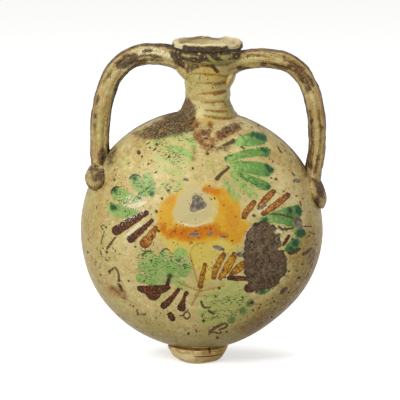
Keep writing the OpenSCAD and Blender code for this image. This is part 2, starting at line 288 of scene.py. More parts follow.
amberStrokes = {
    "band": [(170, 231.5, 8), (191, 233.5, 13), (212, 230, 12)],
    "bandTail": [(210, 230, 10), (218, 233, 7), (226, 236, 4)],
    "topPatch": [(205, 188, 6), (211, 190, 7), (217, 192, 4)],
    "leftFoot": [(163, 226, 6), (164, 231, 7), (168, 235, 6)],
}
heartStrokes = {
    "heartLow": [(180, 212, 17), (192, 214, 23), (204, 211, 17)],
    "heartTop": [(184, 200, 18), (194, 202, 24), (205, 204, 18)],
    "heartOpen": [(188, 186, 10), (195, 192, 14), (203, 198, 14)],
}
# Thin white lines of glaze; leafGlare and strokeGlare are painted highlights
whiteLineAndHighlightStrokes = {
    "heartEdge": [(178, 221.2, 1.4), (192, 225.4, 2.2), (205, 222, 1.2)],
    "patchRim": [(245, 247, 1), (246.6, 231.5, 1.8), (259, 221.8, 1.2)],
    "leafGlare": [(127, 205.6, 2), (136, 204.6, 5), (145, 201.4, 3)],
    "strokeGlare": [(126, 235.4, 1.4), (131.5, 230.6, 3.6), (139, 223.6, 1.4)],
    "patchNotch": [(276, 226, 1.6), (277, 229.5, 2), (281, 232, 1.4)],
}
# Painted glints: where the lamps' reflection shows on the glaze, as white specks and, over the cool
# strokes, a violet sheen
paintedGlintStrokes = {
    "leafShine": [(121, 197, 4), (134, 199, 9), (144, 195, 6)],
    "leafShineLow": [(124, 206, 3), (131, 206.5, 5), (139, 210, 3)],
    "strokeShine": [(118, 224, 3), (131, 217, 4), (146, 209, 2)],
    "crossShine": [(125, 237, 3), (130, 233, 4), (136, 227, 2)],
    "rightGap": [(256, 210, 2.5), (262, 208, 4), (267, 204.5, 2)],
    "shoulderShine": [(146, 124, 1.5), (158, 117, 2.5), (168, 112.5, 1.5)],
}
greyStrokes = {
    "chipTop": [(195.5, 197.8, 7), (197, 200.5, 11), (199, 202.5, 10)],
    "chipRight": [(197, 204, 10), (201, 204.5, 9), (205, 204, 3)],
    "chipLow": [(191, 209.8, 3), (194, 207, 9), (197, 204, 10)],
    "chipTip": [(183, 179.3, 1.6), (185.5, 179, 2.6), (188, 180, 1.6)],
    "petalHoleA": [(190, 234.5, 3), (193.5, 234, 4.4), (197, 234.5, 3)],
    "petalHoleB": [(209.5, 234, 3), (210.5, 233, 3.5), (211.5, 232, 2.5)],
    "petalHoleC": [(220.5, 236, 2), (222.8, 236, 2.6), (225, 236.5, 2)],
    "washChip": [(213.5, 246.5, 2.4), (217.5, 247.5, 4.5), (222.5, 249.4, 3)],
    "patchBay": [(237.5, 254, 3.5), (240, 254.5, 5), (242, 255.5, 3.5)],
    "leafHole": [(296.5, 218, 5), (297.8, 221, 8), (299, 225, 7)],
    "shoulderHole": [(294, 180.5, 2), (296.5, 179.8, 4.4), (299, 180.4, 3)],
    "rightSliver": [(257.5, 208.6, 1.6), (261.5, 207.4, 2.6), (265.5, 204.8, 1.6)],
}
bareStrokes = {
    "upper": [(262.5, 233, 21), (262.8, 240, 36), (261, 250, 34)],
    "upperRight": [(270, 227.5, 8), (273, 233, 10), (275, 240, 12)],
    "middle": [(261, 250, 34), (263.3, 257, 39), (265.5, 264, 44)],
    "lower": [(265.5, 264, 44), (265, 270, 41), (262, 275.5, 31)],
    "foot": [(254, 282, 12), (258.5, 286, 12), (265, 286.5, 8)],
}
# Teeth of sound glaze that still reach into the bare patch
bareBites = {
    "notch": [(285, 247, 6), (282, 248.2, 4), (280, 249, 1.6)],
    "notchTop": [(282, 228, 8), (278.5, 230.5, 5), (275.5, 232, 3)],
    "lowRight": [(288, 279, 9), (284.5, 281, 6), (281, 283, 3)],
    "lowLeft": [(240, 283, 8), (243, 281, 5), (246, 280, 3)],
}
rustStrokes = {
    "leftArm": [(191, 123, 6), (199, 136, 9), (207, 152, 4)],
    "rightArm": [(229, 131, 5), (217, 137, 9), (207, 149, 6)],
    "between": [(201, 130, 6), (206, 136, 9), (212, 139, 8)],
    "drip": [(209.5, 122.5, 4), (209.5, 127, 5.5), (210, 132, 4)],
    "leftDrip": [(192.5, 149, 2), (193.5, 154.5, 3.6), (194.5, 158, 3)],
    "rightSmear": [(213, 140, 5), (222, 134, 9), (237, 127, 6)],
    "neckFootLeft": [(193, 117, 3), (195, 122, 5), (197, 128, 5)],
    "smear": [(118, 284, 3), (121, 290, 5), (123.5, 297, 3)],
    "smearWide": [(110, 288, 4), (120, 294, 6), (127, 301, 3)],
}
# Dark scorch marks on the body and neck; strapShade and leftStrapShade are painted shade beside the
# straps' landings
darkStrokes = {
    "shoulder": [(136, 134, 4), (161, 126.5, 16), (184, 115.6, 22)],
    "shoulderFoot": [(144, 136, 6), (168, 131, 12), (187, 125, 12)],
    "neckFoot": [(187, 102, 8), (188, 110, 14), (188.4, 120, 12)],
    "neckSide": [(184.5, 97, 3), (186, 103, 7), (188, 108, 9)],
    "rightMark": [(219.5, 133, 6), (228, 129, 8), (238, 126, 4)],
    "rightMarkLow": [(203, 131, 3), (206, 132.5, 4), (210, 131, 3)],
    "topSmudge": [(216, 148.6, 2), (221, 146.6, 4.4), (227, 144.4, 4.4)],
    "strapShade": [(294, 147, 3), (301, 158, 6), (307, 173, 5)],
    "leftStrapShade": [(114, 148, 3), (111, 156, 6), (107.5, 164, 4)],
}
spotDabs = {
    "wedgeTip": (207.4, 153, 2.8), "wedgeRing": (211.3, 146, 3), "flowerSpot": (214.3, 198, 2.2),
    "petalSpot": (235.4, 216.3, 2), "tripleA": (156, 211, 3.4), "tripleB": (161.5, 198, 2.8),
    "tripleC": (158, 230.5, 3), "crossFoot": (105.8, 252, 3), "crossSide": (102.2, 248, 2),
    "leftSpot": (127.7, 281, 2), "wornSpotA": (167.5, 190, 3), "wornSpotB": (168.5, 156, 3.2),
    "wornSpotC": (156, 143.5, 3), "upperA": (137.8, 151.5, 4.4), "upperB": (140.8, 155.8, 2.4),
    "wornSpotD": (192.5, 167.5, 2.4), "tipA": (252.8, 304, 4), "tipB": (219, 288.4, 3),
    "tipC": (215, 296, 2.2), "stemA": (203.4, 321, 3.4), "stemB": (202.5, 314.5, 2),
    "rightA": (271, 177.5, 2.2), "rightB": (276, 178.5, 3), "rightC": (253.7, 215.3, 3.2),
    "rightE": (300, 278, 3), "rightF": (303, 264, 2.4), "rightG": (254, 312.5, 2.6),
    "footA": (196, 331, 2), "footB": (188, 333.5, 3), "footC": (217, 338.5, 2.8),
    "lowLeftA": (95, 262, 2), "lowLeftB": (99.5, 274.5, 1.8), "lowLeftC": (86.5, 252, 2.2),
    "lowLeftD": (132.5, 306.5, 2), "lowRightA": (276, 303, 2.4), "lowRightB": (262, 306, 2.2),
    "petalFoot": (232, 240.6, 2), "chestA": (148, 163, 2.4), "chestB": (258, 124.6, 2),
}
deepGreenDabs = {
    "fanTopTip": (262.5, 136.8, 6.4), "fanTopMiddle": (258, 134.6, 6.4), "fanTopSide": (253, 133.4, 5),
    "fanSecondTip": (265.5, 150, 5.6), "fanSecondTop": (262.6, 148.8, 4), "fanThirdTop": (268, 165.8, 5),
    "fanThirdTip": (270.4, 169, 7), "rightLongTip": (298, 209.5, 8), "rightLongTop": (290, 210, 6),
    "rightBlobMid": (300.5, 232, 9), "rightLowMid": (295, 243, 8), "rightLowTip": (291, 248.5, 6),
    "leftUpperTop": (134, 177.5, 5), "leftMiddleTop": (114, 189.5, 5), "leftMiddleEnd": (139, 197, 4),
    "leftLowerTop": (113, 207, 6), "brTipA": (251.5, 303.8, 9), "brTipB": (243, 312.4, 8),
    "brTipC": (231, 321, 8), "lowFoot": (168.8, 276, 6), "rightLongRoot": (265, 219, 6),
    "patchFoot": (264, 291, 6), "fanFourthTip": (268, 186, 4), "leftUpperEnd": (151, 193, 3),
}
neckRings = {
    "first": [(192, 72.8, 0.6), (208, 73.8, 2), (227, 75.8, 1.8)],
    "second": [(196, 82.6, 0.6), (211, 82.6, 1.8), (225.6, 81.6, 2.4)],
    "third": [(198.5, 93.6, 0.8), (211, 92.4, 2.6), (223, 90.8, 2.8)],
    "fourth": [(201, 103, 0.8), (212, 101.8, 1.6), (223.4, 101, 2)],
    "fifth": [(204, 109.4, 0.8), (215, 110.6, 2.8), (225.6, 110.8, 2.8)],
    "sixth": [(203, 114.6, 0.8), (217, 117.4, 2.8), (231.6, 118.4, 2.2)],
    "brow": [(198, 67, 1.6), (205, 65.2, 2), (212, 66.4, 2)],
    "secondEnd": [(212, 84.6, 2), (218, 83.6, 3), (225.4, 82.4, 3)],
    "thirdEnd": [(214, 94, 3), (219, 92.6, 3.6), (224.6, 90.6, 3)],
}
neckDark = {
    "drip": [(211.4, 65, 3), (214, 67.8, 4), (217, 71, 3.6)],
    "tick": [(199.4, 76.4, 1.2), (198.8, 78, 1.4), (199.6, 79.6, 1.2)],
}
neckWash = {
    "brow": [(199, 70, 5), (208, 69.6, 8), (218, 73, 6)],
    "firstRing": [(204, 76, 3), (216, 77, 5), (230, 78.4, 4)],
    "lastRing": [(200, 118, 4), (214, 121, 6), (230, 121, 5)],
}
# Dark marks on the neck under the collar; underCollar is a painted shadow line under the collar's edge
neckScorchAndShadow = {
    "underLeft": [(181, 66, 7), (188, 67.5, 7), (197, 66, 4)],
    "underSpots": [(184, 71, 3), (188, 71.6, 3), (191, 70, 2)],
    "underCollar": [(186, 64.6, 2), (208, 65, 2.4), (232, 63.6, 1.6)],
}
collarPale = {
    "leftMottle": [(182, 54.6, 0.8), (189, 55.6, 1.8), (197, 56, 0.8)],
    "middle": [(207, 55.6, 1.6), (210.6, 58.6, 3), (215, 61.4, 2.4)],
    "right": [(219.6, 56, 2), (224.4, 57, 5), (230, 55.6, 3)],
    "low": [(213, 63, 1.2), (222, 61.6, 2.4), (232, 60, 2.4)],
}
# Painted light on the foot's left, where the lamps reach it
footPaintedLight = {
    "sunlit": [(167, 351, 8), (177, 355, 10), (191, 357.4, 7)],
}
footDark = {
    "drip": [(208.6, 346.6, 1.2), (209, 349.8, 2), (209.6, 352.6, 1.2)],
}
# Painted glints on the left strap, where the lamps' reflection shows on its glaze
paintedStrapGlints = {
    "leftCrown": [(138, 53, 4), (150, 49.5, 6), (166, 54, 6)],
    "leftRoot": [(160, 50, 3), (166, 54, 5), (172, 59, 4)],
    "leftBend": [(119, 69, 2), (124, 69, 4), (130, 66, 3)],
    "leftFoot": [(106.5, 154, 2), (107, 158, 3), (106, 162, 2)],
}
# Dark marks on the left strap; crease, underCrown, underBend and lowCrease are painted shade in its
# creases and under its crown
leftStrapDarkAndShade = {
    "bendPatch": [(119, 64, 9), (126, 61, 13), (133, 57.5, 10)],
    "bendPatchTop": [(124, 57, 6), (130, 56, 8), (136, 61, 6)],
    "edgePits": [(103.5, 80, 3), (107, 75.5, 3.4), (111, 71, 2.4)],
    "crease": [(131, 68.5, 3), (137, 64, 4), (146, 60.5, 3)],
    "underCrown": [(146, 61, 2.4), (154, 60, 3), (162, 61, 2)],
    "underBend": [(114, 92, 1.4), (119, 80, 2.4), (130, 69, 2.6)],
    "basePatch": [(103.4, 150, 6), (102.4, 156, 10), (102, 163, 6)],
    "outerLine": [(94.2, 134, 1.2), (94.4, 116, 1.6), (97.6, 96, 1.2)],
    "crownTop": [(128, 48, 2), (150, 43.4, 3), (172, 48, 4)],
    "crownSpot": [(143, 51, 2), (147, 50, 4), (151, 50, 2)],
    "crownRoot": [(172, 52, 5), (176, 58, 8), (181, 64, 9)],
    "crownFlecks": [(138, 57, 2), (146, 55, 3), (160, 58, 3)],
    "innerEdge": [(111, 120, 1.4), (112.5, 100, 2), (119, 82, 2.4)],
    "nearBody": [(107, 146, 2), (108, 152, 3), (108, 160, 3)],
    "lowCrease": [(94, 165, 2), (98, 168, 3), (104, 166, 2)],
}
# Streaks and dark marks on the right strap; crownUnder and rootUnder are painted shade under its crown
# and root
rightStrapDarkAndShade = {
    "bendCore": [(288, 65, 4), (300, 72, 6), (309, 88, 5)],
    "crownLine": [(243, 52.5, 1.4), (262, 50.5, 1.8), (285, 56, 1.6)],
    "outerBend": [(285, 60, 2), (303, 70, 4), (313, 85, 4)],
    "innerBend": [(283, 66, 3), (299, 75, 5), (307, 92, 3)],
    "crownUnder": [(262, 64, 2), (275, 65, 3), (290, 69, 4)],
    "lowerStreak": [(314.5, 173, 4), (316.5, 165, 4), (318, 156, 2)],
    "innerEdge": [(310, 168, 5), (309.5, 156, 5), (311, 144, 2)],
    "spot": [(320.5, 125.4, 2.6), (321, 126.6, 3.6), (321.4, 128, 2.6)],
    "crownMid": [(248, 54.8, 1.6), (260, 55.2, 1.2), (275, 59, 1.4)],
    "rootUnder": [(238, 67, 3), (242, 68, 4), (248, 67.6, 2)],
    "tail": [(307.4, 176, 2), (308.6, 186, 3.4), (310, 196, 2)],
    "midStreak": [(309, 110, 1.6), (311, 128, 1.8), (312, 148, 1.6)],
    "outerStreak": [(318, 110, 0.8), (320, 128, 1), (319, 150, 0.8)],
}
# Dark marks on the pads; leftCrease, leftSeam and leftRim are painted shade in the creases round the left
# pad and along its lower outline
padDarkAndCreaseShade = {
    "leftCore": [(94.5, 180, 4), (98.5, 176.5, 9), (105, 170.5, 7)],
    "leftFoot": [(89, 186, 2), (94, 187.5, 3), (100, 185, 2)],
    "leftCrease": [(90.5, 166, 1.4), (92, 176, 2), (96, 183, 1.6)],
    "leftTop": [(90, 167, 1.5), (94, 169, 2.4), (100, 169.5, 2)],
    "leftSeam": [(100, 185, 2.4), (104.6, 178, 3.4), (107, 170, 3.4)],
    "leftRim": [(86.2, 183, 1.6), (91.5, 189.4, 2.4), (100, 187, 2.4)],
    "rightCore": [(314.5, 177, 7), (318.6, 184, 8.4), (320.6, 195, 6)],
    "rightFoot": [(316.5, 198, 6), (316.5, 202, 5), (317, 205, 3)],
    "rightCorner": [(235, 74, 3), (236, 71, 4), (240, 69, 3)],
}


# Well outside its strokes a field is minus this many pixels
farOut = 6.0
# Keeps a division from meeting nought
tiny = 1e-9


def dabField(px, py, dabs):
    # Radius less distance for the nearest dab: above nought is inside it
    field = np.full(len(px), -farOut)
    for x, y, width in dabs:
        reach = width / 2 + farOut
        near = np.where((abs(px - x) < reach) & (abs(py - y) < reach))[0]
        inside = width / 2 - np.hypot(px[near] - x, py[near] - y)
        field[near] = np.maximum(field[near], inside)
    return field


def strokeField(px, py, strokes):
    # A stroke is a chain of capsules along the parabola through its three points: the field is half
    # the width less the distance to the chain, the tone is the share of the way along the stroke
    segments = 9
    field = np.full(len(px), -farOut)
    tone = np.zeros(len(px))
    t = np.linspace(0, 1, segments + 1)[:, None]
    for stroke in strokes.values():
        start, middle, end = np.array(stroke, float)
        knots = 2 * (t - 0.5) * (t - 1) * start + 4 * t * (1 - t) * middle + 2 * t * (t - 0.5) * end
        reach = knots[:, 2].max() / 2 + farOut
        low, high = knots.min(axis=0) - reach, knots.max(axis=0) + reach
        near = np.where((px > low[0]) & (px < high[0]) & (py > low[1]) & (py < high[1]))[0]
        x, y = px[near], py[near]
        for k in range(segments):
            a, step = knots[k], knots[k + 1] - knots[k]
            span = step[0] ** 2 + step[1] ** 2 + tiny
            share = np.clip(((x - a[0]) * step[0] + (y - a[1]) * step[1]) / span, 0, 1)
            gap = np.hypot(x - a[0] - share * step[0], y - a[1] - share * step[1])
            inside = (a[2] + step[2] * share) / 2 - gap
            better = inside > field[near]
            field[near[better]] = inside[better]
            tone[near[better]] = (k + share[better]) / segments
    return field, tone


# Meshes from whole arrays

def setMesh(name, points, faceGroups, smoothGroups, fields):
    # Each face group is an array of corner numbers, one row a face
    mesh = bpy.data.meshes.new(name)
    corners = np.concatenate([group.ravel() for group in faceGroups]).astype(np.int32)
    totals = np.concatenate([np.full(len(group), group.shape[1]) for group in faceGroups])
    starts = np.concatenate([[0], np.cumsum(totals)[:-1]])
    mesh.vertices.add(len(points))
    mesh.vertices.foreach_set("co", (points * mm).astype(np.float32).ravel())
    mesh.loops.add(len(corners))
    mesh.loops.foreach_set("vertex_index", corners)
    mesh.polygons.add(len(totals))
    mesh.polygons.foreach_set("loop_start", starts.astype(np.int32))
    mesh.polygons.foreach_set("loop_total", totals.astype(np.int32))
    mesh.update(calc_edges=True)
    flags = [np.full(len(group), flag) for group, flag in zip(faceGroups, smoothGroups)]
    mesh.polygons.foreach_set("use_smooth", np.concatenate(flags))
    for fieldName, values in fields.items():
        kind = "FLOAT_VECTOR" if values.ndim == 2 else "FLOAT"
        layer = mesh.attributes.new(fieldName, kind, "POINT")
        key = "vector" if values.ndim == 2 else "value"
        layer.data.foreach_set(key, values.astype(np.float32).ravel())
    mesh.validate()
    piece = bpy.data.objects.new(name, mesh)
    bpy.context.scene.collection.objects.link(piece)
    return piece


def volumeOf(points, faceGroups):
    # A sixth of the sum of triple products over the fans of every face
    total = 0.0
    for group in faceGroups:
        for k in range(1, group.shape[1] - 1):
            a, b, c = points[group[:, 0]], points[group[:, k]], points[group[:, k + 1]]
            total += np.einsum("ij,ij->", a, np.cross(b, c))
    return total / 6


def makeSolid(name, points, faceGroups, smoothGroups, fields):
    # A volume below nought means that the faces look inwards, so each one's corners are turned round
    if volumeOf(points, faceGroups) < 0:
        faceGroups = [group[:, ::-1] for group in faceGroups]
    return setMesh(name, points, faceGroups, smoothGroups, fields)


def ringFaces(rows, columns, closeRows):
    # Quads between neighbouring rings, closed round, and from last ring to first when asked: corner
    # i, j is number i times columns plus j
    last = rows if closeRows else rows - 1
    i, j = np.meshgrid(np.arange(last), np.arange(columns), indexing="ij")
    below, right = (i + 1) % rows, (j + 1) % columns
    quads = np.stack([i * columns + j, i * columns + right, below * columns + right,
                      below * columns + j], axis=-1)
    return quads.reshape(-1, 4)


def capFaces(first, columns, pole, flip):
    # A fan from the ring that starts at first to its pole
    j = np.arange(columns)
    edge = np.stack([first + j, first + (j + 1) % columns, np.full(columns, pole)], axis=-1)
    return edge[:, ::-1] if flip else edge


def cappedFaces(rows, columns):
    # Rings one after another, closed at each end by a fan to a pole that comes after all of them
    count = rows * columns
    return [ringFaces(rows, columns, False), capFaces(0, columns, count, True),
            capFaces(count - columns, columns, count + 1, False)]


# The two bowls

def meridian(s):
    # Arc length from the pole runs along the face's arc, then round the rim's arc: the angle is the
    # length over the arc's radius, and the place is that radius times the angle's sine and cosine
    faceLength = body["faceRadius"] * body["turn"]
    faceAngle = s / body["faceRadius"]
    rimAngle = body["turn"] + (s - faceLength) / body["rimRadius"]
    onFace = s < faceLength
    angle = np.where(onFace, faceAngle, rimAngle)
    faceDepth = body["faceRadius"] * np.cos(angle) - (body["faceRadius"] - body["halfDepth"])
    radius = np.where(onFace, body["faceRadius"] * np.sin(angle),
                      body["rimCentre"] + body["rimRadius"] * np.sin(angle))
    depth = np.where(onFace, faceDepth, body["rimRadius"] * np.cos(angle))
    return radius, depth, np.sin(angle), np.cos(angle)


def discGrid(cells):
    # Equal-area map from a square grid to a disc: the share out is the larger coordinate, and the
    # angle is an eighth turn times the smaller over the larger
    line = np.linspace(-1, 1, cells + 1)
    a, b = (grid.ravel() for grid in np.meshgrid(line, line, indexing="ij"))
    wide = abs(a) > abs(b)
    share = np.where(wide, a, b)
    with np.errstate(divide="ignore", invalid="ignore"):
        angle = np.where(wide, math.pi / 4 * b / a, math.pi / 2 - math.pi / 4 * a / b)
    angle = np.nan_to_num(angle) + np.where(share < 0, math.pi, 0)
    return abs(share), angle


def squareFaces(cells):
    # Corner i, j of the grid is number i times (cells + 1) plus j
    i, j = np.meshgrid(np.arange(cells), np.arange(cells), indexing="ij")
    corner = (i * (cells + 1) + j).ravel()
    return np.stack([corner, corner + 1, corner + cells + 2, corner + cells + 1], axis=-1)


def squareRim(cells):
    # The grid's border, once round
    side = np.arange(cells)
    stride = cells + 1
    return np.concatenate([side, side * stride + cells, cells * stride + cells - side,
                           (cells - side) * stride])


def bowlSkin(cells, front, inset):
    # Equal-area disc carried along the meridian: share out times the whole arc's length, which the
    # neck's hole cuts short by the rim's radius times the arcsine of hole over radius
    share, angle = discGrid(cells)
    whole = body["faceRadius"] * body["turn"]
    whole += body["rimRadius"] * (math.pi / 2 - body["turn"])
    across = body["radius"] * np.cos(angle) - neck["x"]
    hole = np.sqrt(np.clip(body["neckHole"] ** 2 - across ** 2, 0, None)) * (np.sin(angle) > 0)
    length = whole - body["rimRadius"] * np.arcsin(hole / body["rimRadius"])
    radius, depth, outward, along = meridian(share * length)
    side = -1.0 if front else 1.0
    normal = np.stack([outward * np.cos(angle), side * along, outward * np.sin(angle)], axis=-1)
    points = np.stack([radius * np.cos(angle), side * depth,
                       radius * np.sin(angle) + body["centreZ"]], axis=-1)
    return points - normal * inset, normal, radius, angle


# The body as the photo shows it, in pixels: its middle, and how far from it pits are drawn
face = {"x": 201.0, "y": 230.0, "reach": 119.0}
# Pits: how many are drawn, the least and greatest width in pixels, the chance that one in the middle
# stays, the heading below the level where most stay, and where the chance starts to grow and is full
pitting = {"count": 340, "least": 1.1, "most": 2.5, "kept": 0.10, "added": 0.85, "heading": 40.0,
           "from": 55.0, "full": 112.0, "frontSeed": 7, "backSeed": 11}


def pitDabs(seed):
    # Random pits, more of them low and to the right, as on the fired pot: the distance out is the
    # root of one draw, the width grows with the cube of another
    rng = np.random.default_rng(seed)
    count = pitting["count"]
    angle = rng.uniform(-math.pi, math.pi, count)
    out = np.sqrt(rng.uniform(0.02, 1, count)) * face["reach"]
    side = smooth(np.cos(angle - math.radians(pitting["heading"])), -0.3, 0.9)
    grown = smooth(out, pitting["from"], pitting["full"]) * (0.35 + 0.65 * side)
    keep = rng.uniform(size=count) < pitting["kept"] + pitting["added"] * grown
    width = pitting["least"] + (pitting["most"] - pitting["least"]) * rng.uniform(size=count) ** 3
    table = np.stack([face["x"] + out * np.cos(angle), face["y"] + out * np.sin(angle), width], axis=-1)
    return table[keep]


def paintFront(px, py):
    # Every coat of the painting as a field in pixels, named as the glaze's recipe reads it
    fields = {}
    fields["green"], fields["greenTone"] = strokeField(px, py, {**greenStrokes, **lightGreenStrokes})
    ends = []
    for name, strokes in {"coolBrown": coolBrownStrokes, "redBrown": redBrownStrokes,
                          "ochreBrown": ochreBrownStrokes}.items():
        fields[name], tone = strokeField(px, py, strokes)
        ends.append(abs(2 * tone - 1) * (fields[name] > -2))
    fields["strokeEnd"] = np.max(ends, axis=0)
    for name, strokes in {"lightGreen": lightGreenStrokes, "thinGreen": thinGreenStrokes,
                          "paleGreen": paleGreenStrokes, "fleck": fleckStrokes,
                          "orange": orangeStrokes, "wash": washStrokes, "amber": amberStrokes,
                          "heart": heartStrokes, "white": whiteLineAndHighlightStrokes, "paintedShine": paintedGlintStrokes,
                          "line": lineStrokes, "stem": stemStrokes, "rust": rustStrokes,
                          "dark": darkStrokes, "grey": greyStrokes, "bare": bareStrokes}.items():
        fields[name], _ = strokeField(px, py, strokes)
    bites, _ = strokeField(px, py, bareBites)
    fields["bare"] = np.minimum(fields["bare"], -bites)
    fields["deepGreen"] = dabField(px, py, deepGreenDabs.values())
    fields["spot"] = dabField(px, py, spotDabs.values())
    return fields


def backScorch(points):
    # The dark band of the front's shoulder runs on over the top of the back: a ridge that falls with
    # the distance to either side of its middle, broken by ripples, and nothing below its lowest place
    band = {"depth": 9, "x": -14, "y": 2, "spreadX": 4, "spreadY": 2.4, "broken": 5, "lowest": 150}
    near = band["depth"] - abs(points[:, 0] - band["x"]) / band["spreadX"]
    near = near - abs(points[:, 1] - band["y"]) / band["spreadY"]
    near = near + band["broken"] * ripple(points, 16, 15)
    return np.where(points[:, 2] > band["lowest"], np.clip(near, -farOut, farOut), -farOut)


def flatten(points, radius, angle):
    # The lower right of the outline is pressed in by hand: a bump in angle, grown with radius
    grownFrom, grown = 45, 100
    offset = (angle - math.radians(body["flatAngle"]) + math.pi) % (2 * math.pi) - math.pi
    press = np.exp(-(np.degrees(offset) / body["flatSpread"]) ** 2) * smooth(radius, grownFrom, grown)
    points[:, 0] -= body["flat"] * press * np.cos(angle)
    points[:, 2] -= body["flat"] * press * np.sin(angle)


# Where the glaze browns, and where shade is painted on it towards the lower right: radii in mm where
# that starts and is full, the headings below the level where it is strongest and weakest, and the
# height in mm above which the seam's painted dark outline is also scorch
edgeBrowningAndShade = {"from": 58, "full": 98, "strongest": 56, "weakest": 100, "seam": 4, "burntFrom": 150,
            "burntFull": 175}
# What sinks into the bowls, or stands up from them where it is below nought: its depth in mm, and the
# field's values where it starts and is full
reliefs = {
    "pit": (0.5, -0.2, 1.0),
    "bare": (0.75, -0.6, 1.0),
    "grey": (0.55, -0.4, 0.8),
    "dark": (0.15, -0.5, 2.0),
    "coolBrown": (-0.16, -0.6, 0.8),
    "redBrown": (-0.16, -0.6, 0.8),
    "ochreBrown": (-0.16, -0.6, 0.8),
    "green": (-0.08, -0.8, 0.8),
}
# Rough ground in some of them: share of the depth, wavelength in mm, and seed
reliefGrain = {"bare": (0.16, 4.5, 21), "dark": (1.0, 3.4, 22)}


def bowlFields(rest, radius, angle, front):
    # Coats in the photo's pixels and pits, mirrored on the back; the edge field grows outwards by
    # how far a heading lies from the strongest and the weakest one; the rim is a band on the seam
    px, py = toPixel(rest)
    fields = paintFront(px, py) if front else {"dark": backScorch(rest)}
    drawn = pitDabs(pitting["frontSeed"] if front else pitting["backSeed"])
    pits = dabField(px if front else 2 * face["x"] - px, py, drawn)
    fields["pit"] = np.maximum(pits, fields.get("spot", pits))
    heading = np.degrees(angle)
    # Browner towards the lower right and less so at the very bottom: partly real browning of the glaze,
    # partly painted shade away from the light
    browned = smooth(np.cos(np.radians(heading + edgeBrowningAndShade["strongest"])), 0.3, 1.0)
    bottom = smooth(np.cos(np.radians(heading + edgeBrowningAndShade["weakest"])), 0.75, 1.0)
    fields["edge"] = smooth(radius, edgeBrowningAndShade["from"], edgeBrowningAndShade["full"])
    fields["edge"] *= (0.46 + 0.7 * browned) * (1 - 0.9 * bottom)
    # The rim band lies on the seam, the body's outline seen from the front: painted shade all round, and
    # scorch too over the shoulders
    fields["rim"] = 1 - smooth(abs(rest[:, 1] - edgeBrowningAndShade["seam"]), 3, 13)
    fields["rim"] *= 0.35 + 0.65 * smooth(rest[:, 2], edgeBrowningAndShade["burntFrom"], edgeBrowningAndShade["burntFull"])
    return fields


def bowlSink(fields, rest, radius, front):
    # Depth under the smooth bowl: hand-made lumps, plus throwing rings, a cosine of the radius that
    # dies out before the rim, plus each relief's depth times how far its field has risen
    ringEnd, ringFade, least = 96, 8, 0.02
    lump = body["lump"] * (1 + 0.5 * ripple(rest, 62, 3))
    rings = body["ringDepth"] * np.cos(2 * math.pi * radius / body["ringPitch"])
    rings *= 0.6 + 0.4 * ripple(rest, 48, 5)
    sink = lump + rings * smooth(ringEnd - radius, 0, ringFade)
    for key, (depth, low, high) in reliefs.items():
        if not front and key != "pit":
            continue
        part = depth * smooth(fields[key], low, high)
        if key in reliefGrain:
            share, wavelength, seed = reliefGrain[key]
            part *= 1 + share * ripple(rest, wavelength, seed)
        sink += part
    return np.clip(sink, least, None)


def jointFaces(cells, innerCells, base):
    # Between the skins' borders: each inner cell faces as many outer ones as the grids' ratio
    ratio = cells // innerCells
    outerRim = squareRim(cells)
    innerRim = squareRim(innerCells) + base
    k = np.arange(len(innerRim))
    joint = [outerRim[(k * ratio + step) % len(outerRim)] for step in range(ratio + 1)]
    joint += [innerRim[(k + 1) % len(innerRim)], innerRim[k]]
    return np.stack(joint, axis=-1)


def makeBowl(name, front):
    # Two skins with a joint between their borders; the outer one is pushed in along its normals
    cells = body["outerCells"] if front else body["backCells"]
    innerCells = body["innerCells"]
    outer, normal, radius, angle = bowlSkin(cells, front, 0.0)
    inner, _, innerRadius, innerAngle = bowlSkin(innerCells, front, body["wall"])
    rest = outer.copy()
    flatten(outer, radius, angle)
    flatten(inner, innerRadius, innerAngle)
    fields = bowlFields(rest, radius, angle, front)
    outer -= normal * bowlSink(fields, rest, radius, front)[:, None]
    base = len(outer)
    points = np.concatenate([outer, inner])
    faceGroups = [squareFaces(cells), squareFaces(innerCells)[:, ::-1] + base,
                  jointFaces(cells, innerCells, base)]
    for key, values in fields.items():
        unpainted = -farOut if values.min() < -1 else 0.0
        fields[key] = np.concatenate([values, np.full(len(inner), unpainted)])
    return makeSolid(name, points, orient(points, faceGroups, normal, front), [True, True, False], fields)


def facing(points, face):
    # A face's normal: the sum of the cross products of neighbouring corners, taken from its middle
    reach = points[face] - points[face].mean(axis=0)
    return np.cross(reach, np.roll(reach, -1, axis=0)).sum(axis=0)


def orient(points, faceGroups, normal, front):
    # All faces turn over where the outer skin looks inwards, and the joint's where they look away
    # from the other bowl: where their normal, times the skin's own or along Y, is below nought
    central = faceGroups[0][len(faceGroups[0]) // 2]
    if facing(points, central) @ normal[central[0]] < 0:
        faceGroups = [group[:, ::-1] for group in faceGroups]
    if (facing(points, faceGroups[2][0])[1] < 0) == front:
        faceGroups[2] = faceGroups[2][:, ::-1]
    return faceGroups


# Turned pieces: a closed profile carried round an upright axis

def turned(name, profile, centreX, sides, shape, paint):
    # Row i is the profile's point i, column j its angle: radius times cosine and sine, at the
    # profile's height; shape() moves the points afterwards
    angle = 2 * math.pi * np.arange(sides) / sides
    radius, height = profile[:, 0][:, None], profile[:, 1][:, None]
    points = np.stack([centreX + radius * np.cos(angle), radius * np.sin(angle),
                       height + 0 * angle], axis=-1).reshape(-1, 3)
    points, fields = shape(points, np.tile(angle, len(profile)), np.repeat(profile[:, 0], sides))
    px, py = toPixel(points)
    towards = points[:, 1] < 0
    for key, strokes in paint.items():
        values, _ = strokeField(px, py, strokes)
        fields[key] = np.where(towards, values, -farOut)
    return makeSolid(name, points, [ringFaces(len(profile), sides, True)], [True], fields)


def pushIn(points, dent, angle):
    # Towards the axis: the dent times the heading's cosine and sine comes off
    points[:, 0] -= dent * np.cos(angle)
    points[:, 1] -= dent * np.sin(angle)


